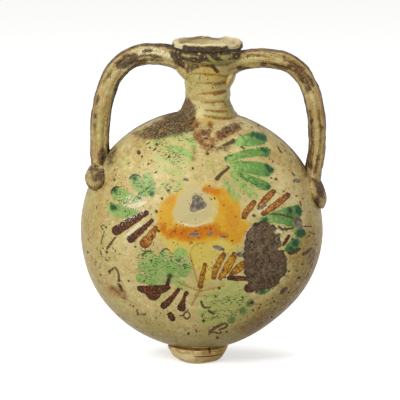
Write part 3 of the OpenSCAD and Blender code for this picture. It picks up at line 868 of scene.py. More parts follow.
def arc(centre, size, start, stop, count):
    # Points of an ellipse between two angles in degrees
    angle = np.radians(np.linspace(start, stop, count))
    return np.stack([centre[0] + size[0] * np.cos(angle), centre[1] + size[1] * np.sin(angle)], -1)


def straight(start, stop, count):
    # Start times one less the share, plus stop times the share
    share = np.linspace(0, 1, count)[:, None]
    return np.array(start) * (1 - share) + np.array(stop) * share


def angleTo(angle, degrees):
    # Smallest turn between two headings, in degrees
    return abs((np.degrees(angle) - degrees + 180) % 360 - 180)


def nearHeading(angle, heading, width):
    # One at the heading, falling with e to the minus fourth power of turn over width
    return np.exp(-(angleTo(angle, heading) / width) ** 4)


def bodyTop(x, y):
    # Height of the body's outside over a place: the rim's arc turned about the body's axis
    reach = body["rimCentre"] + np.sqrt(np.clip(body["rimRadius"] ** 2 - y ** 2, 0, None))
    return body["centreZ"] + np.sqrt(np.clip(reach ** 2 - x ** 2, 0, None))


def makeNeck():
    # Outside: the waist, a flare with the cube of the way up, and ridges of 1 - cos that fade on the
    # way; inside: a straight bore. The heights bound where the rings wander and where they are browner
    tube = {"sides": 224, "rows": 110, "footRows": 8, "boreRows": 46, "dent": 0.3, "uneven": 0.28,
            "wander": 0.5, "twist": 9.0, "foot": 206, "free": 214, "brow": 248, "browned": 228}
    steps = np.linspace(0, 1, tube["rows"])
    ridge = 1 - np.cos(2 * math.pi * neck["ridges"] * steps)
    side = np.stack([
        neck["waist"] + neck["flare"] * steps ** 3 + neck["ridgeDepth"] / 2 * ridge * (1 - steps),
        neck["base"] + (neck["top"] - neck["base"]) * steps], axis=-1)
    foot = straight((neck["waist"], neck["bottom"]), (neck["waist"], neck["base"] - 0.5),
                    tube["footRows"])
    bore = straight((neck["bore"] + 0.4, neck["top"]), (neck["bore"], neck["bottom"]), tube["boreRows"])

    def shape(points, angle, radius):
        height = points[:, 2].copy()
        outside = smooth(radius, neck["bore"] + 1, neck["waist"] - 1)
        dent = (tube["uneven"] * ripple(points, 16, 31) + tube["dent"]) * outside
        wander = tube["wander"] * np.sin(angle + height / tube["twist"]) * outside
        wander = wander * smooth(height, tube["foot"], tube["free"]) * smooth(tube["brow"] - height, 0, 6)
        points[:, 2] += wander
        pushIn(points, dent, angle)
        browned = 0.22 + 0.16 * smooth(tube["browned"] - points[:, 2], 0, 14)
        return points, {"edge": browned * outside}

    paint = {"rust": neckRings, "spot": neckDark, "wash": neckWash,
             "dark": {**darkStrokes, **neckScorchAndShadow}}
    profile = np.concatenate([foot, side, bore])
    return turned("neckSkin", profile, neck["x"], tube["sides"], shape, paint)


def makeCoil():
    # Over the body's own height stands a fillet that falls with a high power of the way out
    coil = {"inner": 17.6, "reach": 33.0, "height": 14.0, "power": 4.6, "sides": 240, "rows": 46,
            "drop": 0.7, "sunk": 0.5, "under": 3.5, "groove": 0.35, "grooves": 1.9, "lump": 0.15}
    out = np.linspace(0, 1, coil["rows"])
    profile = np.concatenate([np.stack([out, 0 * out], -1), np.stack([out[::-1], 0 * out - 1], -1)])

    def shape(points, angle, share):
        under = points[:, 2] < -0.5
        reach = coil["reach"] * (1 + 0.05 * np.sin(3 * angle + 1) + 0.03 * np.sin(7 * angle))
        radius = coil["inner"] + (reach - coil["inner"]) * share
        x = neck["x"] + radius * np.cos(angle)
        y = radius * np.sin(angle)
        lift = coil["height"] * (1 - share) ** coil["power"] - coil["drop"] * share
        groove = coil["groove"] * np.sin(radius * coil["grooves"] + np.sin(angle))
        groove *= smooth(1 - share, 0.1, 0.5)
        top = bodyTop(x, y) + lift + groove * (share > 0.02) - coil["sunk"]
        points = np.stack([x, y, np.where(under, bodyTop(x, y) - coil["under"], top)], axis=-1)
        points[:, 2] -= coil["lump"] * (1 + ripple(points, 9, 41)) * ~under
        # The edge field rises on the coil's right side: painted shade, away from the light
        return points, {"edge": 0.22 + 0.6 * smooth(np.cos(angle), 0.1, 0.9)}

    paint = {"rust": {**neckRings, **rustStrokes}, "spot": neckDark, "wash": neckWash,
             "dark": darkStrokes}
    return turned("neckRootCoil", profile, 0.0, coil["sides"], shape, paint)


def makeCollar():
    # The outside flares to a groove and a rounded band, the lip is rounded, the mouth a funnel
    collar = {"lip": (collarHigh[0] - collarLow[0]) / 2, "wall": 5.5, "seat": 24.5, "waist": 28.0,
              "waistHeight": 7.6, "beadHeight": 10.2, "throat": 13.5, "sides": 288}
    bottom, top = collarLow[2], collarHigh[2]
    inside = collar["lip"] - collar["wall"]
    lipR = collar["wall"] / 2
    profile = np.concatenate([
        straight((collar["throat"] + 0.4, bottom), (collar["seat"] - 0.6, bottom), 16),
        arc((collar["seat"], bottom + collar["waistHeight"]),
            (collar["waist"] - collar["seat"], collar["waistHeight"]), -90, 0, 24),
        straight((collar["waist"], bottom + collar["waistHeight"] + 0.4),
                 (collar["lip"], bottom + collar["beadHeight"]), 8),
        straight((collar["lip"], bottom + collar["beadHeight"] + 0.4),
                 (collar["lip"], top - lipR - 0.2), 8),
        arc((collar["lip"] - lipR, top - lipR), (lipR, lipR), 0, 180, 26),
        arc((collar["throat"], top - lipR), (inside - collar["throat"], top - lipR - bottom),
            -4, -86, 40)])
    # Each chip: heading, half width in degrees, drop of the lip, and cut into its outside, in mm
    chips = {"frontRight": (-38, 17, 1.5, 1.9), "frontLeft": (-150, 14, 1.5, 1.9),
             "backDip": (74, 13, 1.5, 0.4), "backLeft": (122, 12, 0.5, 0.3),
             "frontNick": (-96, 5, 0.3, 0.3), "rightSide": (8, 9, 0.7, 0.8)}

    def shape(points, angle, radius):
        height = points[:, 2] - bottom
        lipShare = smooth(height, 8, 15)
        outside = smooth(radius, 20, 26)
        broken = np.zeros(len(points))
        cut = np.zeros(len(points))
        drop = np.zeros(len(points))
        for heading, width, fall, bite in chips.values():
            near = nearHeading(angle, heading, width)
            drop += fall * near * smooth(height, 9, 16)
            cut += bite * near * smooth(height, 6.5, 13) * smooth(radius, 25, 28.5)
            broken = np.maximum(broken, near * smooth(bite, 0.6, 1.2) * smooth(height, 10, 12.6)
                                * smooth(radius, 21, 26))
        worn = 0.16 + 0.10 * ripple(points, 6, 51) + 0.12 * ripple(points, 24, 52)
        drop += np.clip(worn, 0, 1) * lipShare
        groove = 0.8 * np.exp(-((height - 8.6) / 0.8) ** 2) * (1 + 0.3 * ripple(points, 12, 54))
        dent = np.clip(0.22 + 0.2 * ripple(points, 7, 53), 0, 1) * outside + cut + groove * outside
        points[:, 2] -= drop
        pushIn(points, dent, angle)
        lip = smooth(height, 14.4, 15.4) * smooth(radius, 15, 21) + (radius < 24.2) * (height > 1)
        band = np.where(radius > 24.4, height, -4.0)
        singed = nearHeading(angle, 100, 46) * smooth(height, 13.0, 14.8)
        return points, {"band": band, "lip": np.clip(np.maximum(lip, broken), 0, 1), "edge": 0 * lip,
                        "singed": singed}

    return turned("mouthCollarSkin", profile, neck["x"], collar["sides"], shape, {"pale": collarPale})


def makeFoot():
    # Outside: from base to top with the 0.8th power of the way up; its lower edges are quarter circles
    foot = {"top": 25.0, "base": 19.6, "hollow": 12.0, "rise": 11.0, "sides": 224, "rows": 60,
            "lowEdge": 1.2, "innerEdge": 1.0, "ceiling": 15.0}
    centreX = (footLow[0] + footHigh[0]) / 2
    low, inner = foot["lowEdge"], foot["innerEdge"]
    climb = np.linspace(0, 1, foot["rows"])
    side = np.stack([foot["base"] + (foot["top"] - foot["base"]) * climb ** 0.8,
                     low + (foot["rise"] - low) * climb], axis=-1)
    profile = np.concatenate([
        straight((foot["hollow"], foot["ceiling"]), (foot["hollow"], inner), 10),
        arc((foot["hollow"] + inner, inner), (inner, inner), 180, 270, 6)[1:],
        straight((foot["hollow"] + 1.5, 0.0), (foot["base"] - 1.4, 0.0), 14),
        arc((foot["base"] - low, low), (low, low), -90, 0, 8)[:-1], side,
        straight((foot["top"], 11.2), (foot["top"] - 1.5, 15.5), 20)])
    # The scored grooves: height, depth, half width in mm, the heading where each is deepest and how
    # far it runs to either side
    grooves = {"low": (7.1, 1.1, 0.5, -63, 34), "high": (11.0, 0.5, 0.35, -60, 36),
               "join": (13.7, 1.4, 0.8, -92, 75)}
    # Chips out of the lower edge: heading, half width in degrees, depth
    nicks = {"left": (-158, 28, 2.4), "frontLeft": (-118, 18, 0.7), "front": (-84, 14, 0.4),
             "frontRight": (-54, 22, 1.2), "right": (-12, 22, 1.2), "back": (70, 15, 1.5)}

    def shape(points, angle, radius):
        height = points[:, 2].copy()
        outside = smooth(radius, foot["base"] - 1.5, foot["base"])
        dent = np.clip(0.25 + 0.2 * ripple(points, 9, 61), 0, 2) * outside
        groove = np.zeros(len(points))
        for level, depth, width, deepest, run in grooves.values():
            wander = level + 0.3 * np.sin(angle * 2 + level)
            fade = 0.04 + 0.96 * nearHeading(angle, deepest, run)
            groove = np.maximum(groove, depth * fade * np.exp(-((height - wander) / width) ** 2))
        lift = np.zeros(len(points))
        for heading, width, depth in nicks.values():
            near = nearHeading(angle, heading, width)
            edge = np.exp(-((radius - foot["base"]) / 3.2) ** 2) * np.exp(-height / 2.6)
            lift += depth * near * edge
        points[:, 2] += lift
        dent += groove * outside + 0.4 * lift
        pushIn(points, dent, angle)
        return points, {"groove": groove * outside, "footHeight": height}

    paint = {"pale": footPaintedLight, "spot": footDark}
    return turned("footSkin", profile, centreX, foot["sides"], shape, paint)


# The straps

def bezier(points, share):
    # Cubic curve: the corners weighted by (1-t)^3, 3t(1-t)^2, 3t^2(1-t) and t^3
    p = [np.array(point, float) for point in points]
    t = share[:, None]
    return (1 - t) ** 3 * p[0] + 3 * t * (1 - t) ** 2 * p[1] + 3 * t * t * (1 - t) * p[2] + t ** 3 * p[3]


straps = {
    "left": {"sign": -1, "inset": 8.5, "rise": 4.5, "reach": 45.0, "drop": 76.0, "land": 31.0,
             "thick": 16.5, "smear": 9.0, "flare": 1.0, "stain": 0.12},
    "right": {"sign": 1, "inset": -2.0, "rise": 1.0, "reach": 46.0, "drop": 66.0, "land": 20.0,
              "thick": 15.0, "smear": 10.0, "flare": 0.8, "stain": 0.2},
}
strapShape = {"width": 21.0, "swell": 2.5, "bend": 0.68, "squareness": 2.3, "sides": 120,
              "rows": 300, "fingerGrooves": 8, "groove": 0.8, "seat": 15.5, "seatLength": 24,
              "bulge": 0.10, "bulgeAt": 9, "bulgeSpread": 7.0, "taper": 15, "smearRows": 26,
              "smearSink": 1.5, "waver": 0.04, "waverPitch": 13}


def strapRoute(strap):
    # Three curves, root to crown to widest place to landing, then a smear along the body's rim
    thick = strap["thick"]
    axis = strap["sign"] * neck["x"]
    root = np.array([axis + neck["waist"] / 2, neck["top"] - thick / 2 - 2 + strap["rise"] / 2])
    crown = np.array([axis + strap["reach"], neck["top"] + strap["rise"]])
    widest = np.array([body["radius"] - strap["inset"] - thick / 2, crown[1] - strap["drop"]])
    landRadius = body["radius"] - thick / 4
    angle = math.radians(strap["land"])
    land = np.array([landRadius * math.cos(angle), body["centreZ"] + landRadius * math.sin(angle)])
    fall = widest[1] - land[1]
    bend = strapShape["bend"]
    climb = [root, root + [(crown[0] - root[0]) / 3, (crown[1] - root[1]) * 0.8],
             crown - [(crown[0] - root[0]) / 3, 0], crown]
    over = [crown, crown + [(widest[0] - crown[0]) * bend, 0],
            widest + [0, (crown[1] - widest[1]) * bend], widest]
    down = [widest, widest - [0, fall / 3], land + [0, fall / 3], land]
    rows = strapShape["smearRows"]
    turnedOn = np.radians(strap["land"] - np.linspace(0, strap["smear"], rows)[1:])
    smearRadius = landRadius - np.linspace(0, strapShape["smearSink"], rows)[1:]
    smear = np.stack([smearRadius * np.cos(turnedOn),
                      body["centreZ"] + smearRadius * np.sin(turnedOn)], axis=-1)
    share = np.linspace(0, 1, 80)
    return np.concatenate([bezier(climb, share[:-1]), bezier(over, share[:-1]), bezier(down, share),
                           smear])


def evenly(route, count):
    # The same route with its points spaced evenly by length
    length = np.concatenate([[0], np.cumsum(np.linalg.norm(np.diff(route, axis=0), axis=1))])
    even = np.linspace(0, length[-1], count)
    return np.stack([np.interp(even, length, route[:, k]) for k in (0, 1)], axis=-1), even


def strapTube(strap, route, length, seed):
    # A rounded-square section, cosine and sine to a power under one, scored by fingers, carried along
    # the route and turned to it: thicker towards the neck with the square of the way, bulged where it
    # leaves the neck, tapered at its end, and spread forwards over the body's rim as it lands
    along = np.gradient(route, axis=0)
    along /= np.linalg.norm(along, axis=1)[:, None]
    outX, outZ = -along[:, 1][:, None], along[:, 0][:, None]
    whole = length[-1]
    angle = 2 * math.pi * np.arange(strapShape["sides"]) / strapShape["sides"]
    power = 2 / strapShape["squareness"]
    across = np.sign(np.cos(angle)) * abs(np.cos(angle)) ** power
    deep = np.sign(np.sin(angle)) * abs(np.sin(angle)) ** power
    fromBulge = (length - strapShape["bulgeAt"]) / strapShape["bulgeSpread"]
    bulge = 1 + strapShape["bulge"] * np.exp(-fromBulge ** 2)
    taper = smooth(whole - length, 0, strapShape["taper"])
    thick = strap["thick"] + strapShape["swell"] * (1 - length / whole) ** 2
    thick *= bulge * (0.25 + 0.75 * taper)
    width = strapShape["width"] * bulge * (0.55 + 0.45 * taper)
    width *= 1 + strapShape["waver"] * np.sin(length / strapShape["waverPitch"] + seed)
    groove = strapShape["groove"] * (1 - np.cos(strapShape["fingerGrooves"] * angle)) / 2
    offset = (thick[:, None] / 2 - groove * taper[:, None]) * across
    halfWidth = width[:, None] / 2 - groove * taper[:, None]
    flare = 1 + strap["flare"] * smooth(length, whole - 38, whole - 8)[:, None] * (deep < 0)
    points = np.stack([strap["sign"] * (route[:, 0][:, None] + outX * offset),
                       halfWidth * deep * flare,
                       route[:, 1][:, None] + outZ * offset], axis=-1).reshape(-1, 3)
    outward = np.stack([strap["sign"] * outX * across, deep + 0 * offset, outZ * across],
                       axis=-1).reshape(-1, 3)
    return points, outward / (np.linalg.norm(outward, axis=1)[:, None] + tiny)


def seatRoot(points, length):
    # The root is bent to the neck's round wall: what lies nearer the axis goes out to the seat
    seat = strapShape["seat"]
    reach = np.hypot(points[:, 0] - neck["x"], points[:, 1])
    atRoot = (length < strapShape["seatLength"]) & (reach < seat)
    push = np.where(atRoot, seat / np.maximum(reach, 1), 1.0)
    points[:, 0] = neck["x"] + (points[:, 0] - neck["x"]) * push
    points[:, 1] *= push


def strapFields(strap, length, around):
    # Browner down the strap and where it lands, and by the cube of how far out a flank stands, which is
    # painted shade towards the strap's outline as seen from the front; the rim is the flank's outermost
    # line, where a dark line of painted shade goes; the grain is a place wound on a thin cylinder, drawn
    # out lengthwise
    grainRadius, drawnOut = 9, 14
    whole = length[-1]
    flank = abs(np.cos(around))
    low = smooth(length, 0.3 * whole, 0.5 * whole)
    landing = smooth(length, whole - 44, whole - 10)
    grain = np.stack([np.cos(around) * grainRadius, np.sin(around) * grainRadius,
                      length / drawnOut], axis=-1) * mm
    return {"grain": grain,
            "edge": strap["stain"] * (1 + low) + 0.8 * flank ** 3 + 0.4 * landing,
            "rim": 0.8 * smooth(flank, 0.9, 0.99),
            "furrow": smooth((1 - np.cos(strapShape["fingerGrooves"] * around)) / 2, 0.62, 0.96)}


def makeStrap(side, paint, seed):
    # The tube, dented by ripples and where it is dark, with a pole at the middle of either end; dark
    # marks fade over its top and the painted glints end there
    strap = straps[side]
    rows, sides = strapShape["rows"], strapShape["sides"]
    route, length = evenly(strapRoute(strap), rows)
    points, outward = strapTube(strap, route, length, seed)
    px, py = toPixel(points)
    front = points[:, 1] < 2
    dark, _ = strokeField(px, py, paint)
    dark -= farOut * smooth(points[:, 1], -2, 5)
    paintedGlint, _ = strokeField(px, py, paintedStrapGlints)
    dent = 0.3 + 0.3 * ripple(points, 19, seed) + 0.12 * ripple(points, 6, seed + 1)
    dent += 0.35 * smooth(dark, -0.3, 1.5)
    points -= outward * np.clip(dent, 0, None)[:, None]
    seatRoot(points, np.repeat(length, sides))
    fields = strapFields(strap, np.repeat(length, sides),
                         np.tile(2 * math.pi * np.arange(sides) / sides, rows))
    fields["dark"] = dark
    fields["paintedGlint"] = np.where(front, paintedGlint, -farOut)
    poles = np.stack([points[:sides].mean(axis=0), points[-sides:].mean(axis=0)])
    for key, values in fields.items():
        fields[key] = np.concatenate([values, np.zeros((2,) + values.shape[1:])])
    points = np.concatenate([points, poles])
    return makeSolid(side + "Strap", points, cappedFaces(rows, sides), [True, False, True], fields)


def leaned(local, place):
    # Turned in the view's plane by the lean's cosine and sine, then moved to its middle
    lean = math.radians(place["lean"])
    x = local[:, 0] * math.cos(lean) - local[:, 2] * math.sin(lean)
    z = local[:, 0] * math.sin(lean) + local[:, 2] * math.cos(lean)
    return np.stack([x, local[:, 1], z], axis=-1) + np.array(place["centre"])


def bentRound(local, place):
    # Lengthwise the egg follows the body's outline, crosswise the arc of its rim: each length
    # over its arc's radius is a turn, and the place is the radius times its cosine and sine
    out = body["rimRadius"] + place["proud"] + local[:, 0]
    across = math.radians(place["forward"]) - local[:, 1] / body["rimRadius"]
    heading = math.radians(place["heading"]) + local[:, 2] / body["radius"]
    radius = body["rimCentre"] + out * np.cos(across)
    return np.stack([place["sign"] * radius * np.cos(heading), -out * np.sin(across),
                     body["centreZ"] + radius * np.sin(heading)], axis=-1)


def makeWad(name, wad, seed):
    # An egg with a thumb's dent: a ball stretched three ways, pressed in where each dent lies
    rows, columns = 60, 88
    polar = math.pi * (np.arange(rows) + 1) / (rows + 1)
    around = 2 * math.pi * np.arange(columns) / columns
    ball = np.stack([np.sin(polar)[:, None] * np.cos(around), np.sin(polar)[:, None] * np.sin(around),
                     np.cos(polar)[:, None] + 0 * around], axis=-1).reshape(-1, 3)
    ball = np.concatenate([ball, [[0, 0, 1], [0, 0, -1]]])
    push = np.ones(len(ball)) - 0.03 * (1 + ripple(ball * 10, 9, seed))
    for direction, spread, depth in wad["dents"]:
        aim = np.array(direction, float) / np.linalg.norm(direction)
        push -= depth * np.exp(-((1 - ball @ aim) / spread) ** 2)
    local = ball * push[:, None] * np.array(wad["size"]) / 2
    points = bentRound(local, wad) if "heading" in wad else leaned(local, wad)
    px, py = toPixel(points)
    dark, _ = strokeField(px, py, padDarkAndCreaseShade)
    away = 1 - abs(ball[:, 1])
    # The rim is the wad's outline seen from the front, darkened as painted shade
    fields = {"dark": dark, "edge": wad["stain"] + 0 * dark,
              "rim": smooth(away, 0.78, 0.98) * smooth(wad["stain"], 0.2, 0.4)}
    return makeSolid(name, points, cappedFaces(rows, columns), [True] * 3, fields)


# Recipes for the glaze and the clay

def tint(red, green, blue):
    # From the screen's 0 to 255 to linear light
    share = np.array([red, green, blue]) / 255
    linear = np.where(share <= 0.04045, share / 12.92, ((share + 0.055) / 1.055) ** 2.4)
    return (float(linear[0]), float(linear[1]), float(linear[2]), 1.0)


glaze = {
    "cream": tint(210, 193, 139), "khaki": tint(185, 169, 109), "tan": tint(160, 130, 62),
    "brownEdge": tint(98, 66, 18), "pit": tint(60, 38, 18), "pinkish": tint(202, 164, 114),
    "greenish": tint(168, 172, 92), "freckle": tint(142, 108, 54),
    "green": tint(90, 138, 64), "greenDark": tint(22, 86, 50), "greenTip": tint(6, 30, 24),
    "greenLight": tint(146, 178, 98), "greenPale": tint(170, 183, 106), "greenFleck": tint(38, 62, 32),
    "coolBrown": tint(52, 26, 8), "coolCore": tint(172, 92, 24), "violet": tint(92, 68, 74),
    "redBrown": tint(92, 42, 10), "redCore": tint(212, 144, 60),
    "ochreBrown": tint(104, 58, 10), "ochreCore": tint(216, 162, 40),
    "orange": tint(206, 154, 27), "orangeDeep": tint(194, 106, 16), "wash": tint(210, 186, 78),
    "heart": tint(194, 180, 132), "white": tint(236, 230, 202), "line": tint(62, 40, 18),
    "stem": tint(164, 114, 50), "rust": tint(150, 94, 38), "rustDark": tint(92, 52, 22),
    "ring": tint(160, 104, 38), "ringDark": tint(98, 60, 18), "neckWash": tint(196, 158, 62),
    "bare": tint(108, 90, 70), "bareDark": tint(58, 44, 32), "bareLight": tint(152, 136, 112),
    "barePurple": tint(108, 82, 72), "chipGrey": tint(146, 134, 118), "chipDark": tint(100, 90, 82),
    "scorch": tint(38, 26, 18), "scorchBrown": tint(100, 72, 48), "purple": tint(74, 52, 42),
    "streakRed": tint(98, 52, 26), "streakBrown": tint(84, 54, 24),
    "lip": tint(204, 192, 150), "lipRaw": tint(192, 174, 132),
    "clay": tint(240, 208, 146), "clayLight": tint(252, 232, 182), "clayDark": tint(188, 144, 84),
    "crevice": tint(74, 42, 18),
}


class Wire:
    # A value in a recipe: plus, minus and times each put the node that works them out
    def __init__(self, tree, socket):
        self.tree = tree
        self.socket = socket

    def __add__(self, other):
        return calc("ADD", self, other)

    def __sub__(self, other):
        return calc("SUBTRACT", self, other)

    def __rsub__(self, other):
        return calc("SUBTRACT", other, self)

    def __mul__(self, other):
        return calc("MULTIPLY", self, other)

    def __rmul__(self, other):
        return calc("MULTIPLY", other, self)


def put(tree, kind, inputs=None, **settings):
    # A node with its settings, its inputs either linked or filled
    node = tree.nodes.new(kind)
    for key, value in settings.items():
        setattr(node, key, value)
    for key, value in (inputs or {}).items():
        if isinstance(value, Wire):
            tree.links.new(value.socket, node.inputs[key])
        elif isinstance(value, bpy.types.NodeSocket):
            tree.links.new(value, node.inputs[key])
        else:
            node.inputs[key].default_value = value
    return node


def made(tree, kind, inputs=None, output=0, **settings):
    # The same, as the wire that comes out of it
    return Wire(tree, put(tree, kind, inputs, **settings).outputs[output])


def calc(operation, a, b=0.0):
    # The operation on a and b, one of them a wire
    tree = a.tree if isinstance(a, Wire) else b.tree
    return made(tree, "ShaderNodeMath", {0: a, 1: b}, operation=operation)


def most(first, *others):
    # The greatest of them
    for other in others:
        first = calc("MAXIMUM", first, other)
    return first


def blendColour(share, a, b, way="MIX"):
    # a times one less the share plus b times the share, or with MULTIPLY a times b in b's place
    tree = share.tree if isinstance(share, Wire) else a.tree
    return made(tree, "ShaderNodeMix", {0: share, 6: a, 7: b}, 2, data_type="RGBA", blend_type=way)


def lay(under, cover, name, strength=None):
    # One tint over a colour: under times one less the cover, plus the tint times the cover, where the
    # cover is first thinned to its strength
    if strength is not None:
        cover = cover * strength
    return blendColour(cover, under, glaze[name])


# Noises by what they are used for: waves a metre, octaves, and how rough the finer ones are
noises = {
    "broad": (20.0, 4.0, 0.6),
    "middle": (70.0, 4.0, 0.6),
    "small": (260.0, 4.0, 0.7),
    "fine": (820.0, 2.0, 0.7),
    "moss": (110.0, 3.0, 0.55),
    "streak": (330.0, 3.0, 0.6),
    "gathering": (40.0, 3.0, 0.55),
    "ragged": (520.0, 4.0, 0.65),
    "drift": (170.0, 4.0, 0.65),
    "bristle": (300.0, 3.0, 0.7),
    "speck": (760.0, 2.0, 0.7),
    "worn": (190.0, 4.0, 0.75),
    "fading": (130.0, 4.0, 0.7),
    "fleck": (980.0, 2.0, 0.6),
    "rustWear": (210.0, 4.0, 0.75),
    "crumb": (640.0, 3.0, 0.75),
    "ash": (150.0, 4.0, 0.7),
    "gritty": (360.0, 5.0, 0.75),
    "rubbed": (100.0, 4.0, 0.7),
    "crumbs": (640.0, 3.0, 0.7),
    "lengthwise": (560.0, 4.0, 0.65),
    "strapSpeck": (700.0, 2.0, 0.7),
    "tinge": (60.0, 3.0, 0.55),
    "collarDrift": (170.0, 5.0, 0.7),
    "holes": (330.0, 4.0, 0.75),
    "lipFleck": (420.0, 4.0, 0.7),
    "clayBroad": (70.0, 4.0, 0.65),
    "clayFine": (800.0, 3.0, 0.7),
    "clayStain": (200.0, 4.0, 0.7),
    "clayRun": (120.0, 3.0, 0.55),
}


def cloud(place, name):
    # Sum of octaves of smooth noise, each twice as fine: 0 to 1, most often near a half
    scale, detail, rough = noises[name]
    return made(place.tree, "ShaderNodeTexNoise", {"Vector": place, "Scale": scale, "Detail": detail,
                                                   "Roughness": rough})


def swing(place, name):
    # The named noise less a half, to both sides of nought
    return cloud(place, name) - 0.5


def between(value, low, high):
    # Three t squared less two t cubed, with t the share of the way from low to high
    return made(value.tree, "ShaderNodeMapRange", {0: value, 1: low, 2: high, 3: 0.0, 4: 1.0},
                interpolation_type="SMOOTHSTEP")


def patches(place, name, low, high):
    # The named noise, smoothed from low to high
    return between(cloud(place, name), low, high)


def mixed(value, lowest, highest):
    # Lowest plus the value times what highest is above it
    return value * (highest - lowest) + lowest


def field(tree, name):
    # The mesh's own value of that name
    return made(tree, "ShaderNodeAttribute", output="Fac", attribute_name=name)


def coat(name, noise, wear, stray, soft):
    # Cover of one coat: its field plus the noise times how far it strays, smoothed over the soft
    # edge's pixels to either side of nought, times the wear
    return between(field(noise.tree, name) + noise * stray, -soft, soft) * wear


def pitCover(place, scale, size, share):
    # Voronoi cells whose random value falls under the share hold one round pit each: a second random
    # value sets its radius between a third and four thirds of the size
    tree = place.tree
    node = put(tree, "ShaderNodeTexVoronoi", {"Vector": place, "Scale": scale, "Randomness": 1.0})
    chosen = put(tree, "ShaderNodeSeparateColor", {0: node.outputs["Color"]})
    present = calc("LESS_THAN", Wire(tree, chosen.outputs[0]), share)
    radius = mixed(Wire(tree, chosen.outputs[1]), size * 0.35, size * 1.35)
    return between(radius - Wire(tree, node.outputs["Distance"]), -0.04, 0.08) * present


# A dash lies this far out from the body's axis, in metres, and is this many times as long as wide
dashes = {"radius": 0.09, "stretch": 3}


def arcPlace(place):
    # Distance from the body's axis, way round it over the stretch, and depth: what is round here
    # comes out as a dash along the pot's turning
    tree = place.tree
    part = put(tree, "ShaderNodeSeparateXYZ", {0: place})
    side, depth, level = [Wire(tree, socket) for socket in part.outputs]
    up = level - body["centreZ"] * mm
    out = calc("SQRT", side * side + up * up)
    arcLength = calc("ARCTAN2", side, up * -1.0) * (dashes["radius"] / dashes["stretch"])
    return made(tree, "ShaderNodeCombineXYZ", {0: out, 1: arcLength, 2: depth})


# How deep a bump of one is, in metres, and how strongly glaze and clay mirror
bumpDepth = 0.1 * mm
shine = 0.17


def startMaterial(name):
    # An empty recipe and the place on the piece that its noises read
    material = bpy.data.materials.new(name)
    material.use_nodes = True
    tree = material.node_tree
    tree.nodes.clear()
    return material, tree, made(tree, "ShaderNodeTexCoord", output="Object")


def finishMaterial(tree, colour, roughness, height):
    # Height is in tenths of a millimetre
    normal = made(tree, "ShaderNodeBump", {"Strength": 1.0, "Distance": bumpDepth, "Height": height})
    shader = made(tree, "ShaderNodeBsdfPrincipled", {
        "Base Color": colour, "Roughness": roughness, "Normal": normal,
        "Specular IOR Level": shine})
    put(tree, "ShaderNodeOutputMaterial", {"Surface": shader})


def grainy(colour, noise, spread):
    # The colour times a grey that the noise carries from one less the spread to one plus it
    grain = mixed(noise, 1 - spread, 1 + spread)
    grey = made(colour.tree, "ShaderNodeCombineColor", {0: grain, 1: grain, 2: grain})
    return blendColour(1.0, colour, grey, "MULTIPLY")


def outlineShadeAndScorch(colour, middle, strength):
    # The rim field times a cloud of the middle noise: a dark line along each piece's outline as seen from
    # the front, painted shade, which over the body's shoulders is also scorch
    rim = field(colour.tree, "rim") * between(middle, 0.34, 0.54)
    return lay(colour, rim, "scorch", strength)


def drawnPits(colour, pits, noise):
    # The mesh's own pits over the random ones
    pit = coat("pit", noise, wear=1.0, stray=2.4, soft=0.5)
    return lay(colour, pit, "pit", 0.9), most(pits, pit)


def skinHeight(fine, small):
    # The glaze's own unevenness: the two finest noises
    return fine * 1.4 + small * 2.2


def groundGlaze(tree, place, alongPlace):
    # The plain glaze: cream clouded to khaki, blushed, freckled, and browner by the edge field, which
    # holds real browning and painted shade, with streaks that run with the piece's turning or pulling
    broad = cloud(place, "broad")
    middle = cloud(place, "middle")
    small = cloud(place, "small")
    fine = cloud(place, "fine")
    colour = lay(glaze["cream"], between(broad, 0.34, 0.66), "khaki")
    blush = between(middle, 0.48, 0.68) * 0.42
    colour = lay(colour, blush, "pinkish")
    moss = patches(place, "moss", 0.52, 0.68) * 0.42
    colour = lay(colour, moss, "greenish")
    # The edge field: real browning, and painted shade on the body's lower right, the coil's right side
    # and the straps' outlines
    edge = field(tree, "edge") + (middle - 0.5) * 1.1
    colour = lay(colour, between(edge, 0.1, 0.9), "tan", 0.85)
    deep = between(edge, 0.5, 1.3) * between(small, 0.36, 0.58)
    colour = lay(colour, deep, "brownEdge", 0.8)
    streak = patches(alongPlace, "streak", 0.54, 0.68)
    streak = streak * between(edge, 0.25, 1.1)
    colour = lay(colour, streak, "brownEdge", 0.7)
    freckle = between(small, 0.54, 0.66) * 0.5
    colour = lay(colour, freckle, "freckle")
    light = between(small, 0.44, 0.32) * 0.35
    colour = lay(colour, light, "white")
    return (grainy(colour, fine, 0.28), middle, small, fine)


def pitted(place, dashPlace, colour, share, tone):
    # Round pits of two sizes and, on the body, dashes along its turning; noise gathers them
    patchy = mixed(patches(place, "gathering", 0.4, 0.62), 0.3, 1.3)
    share = share * patchy
    dashes = pitCover(dashPlace, 330.0, 0.24, share)
    big = pitCover(place, 210.0, 0.17, share * 0.5)
    small = pitCover(place, 620.0, 0.3, share * 1.5)
    pits = most(big, dashes, small * 0.8)
    return (blendColour(pits * 0.88, colour, tone), pits)


def thickStroke(tree, colour, name, ragged, stipple, rim, core):
    # A thick stroke: dark where it pooled at its outline and ends, stippled warmer within
    cover = coat(name, ragged, 1.0, 2.6, 0.5)
    heart = between(field(tree, name), 0.1, 1.5)
    middle = between(field(tree, "strokeEnd"), 1.0, 0.62)
    inner = heart * stipple * mixed(middle, 0.35, 1.0)
    return (blendColour(cover, colour, blendColour(inner, rim, core)), cover)


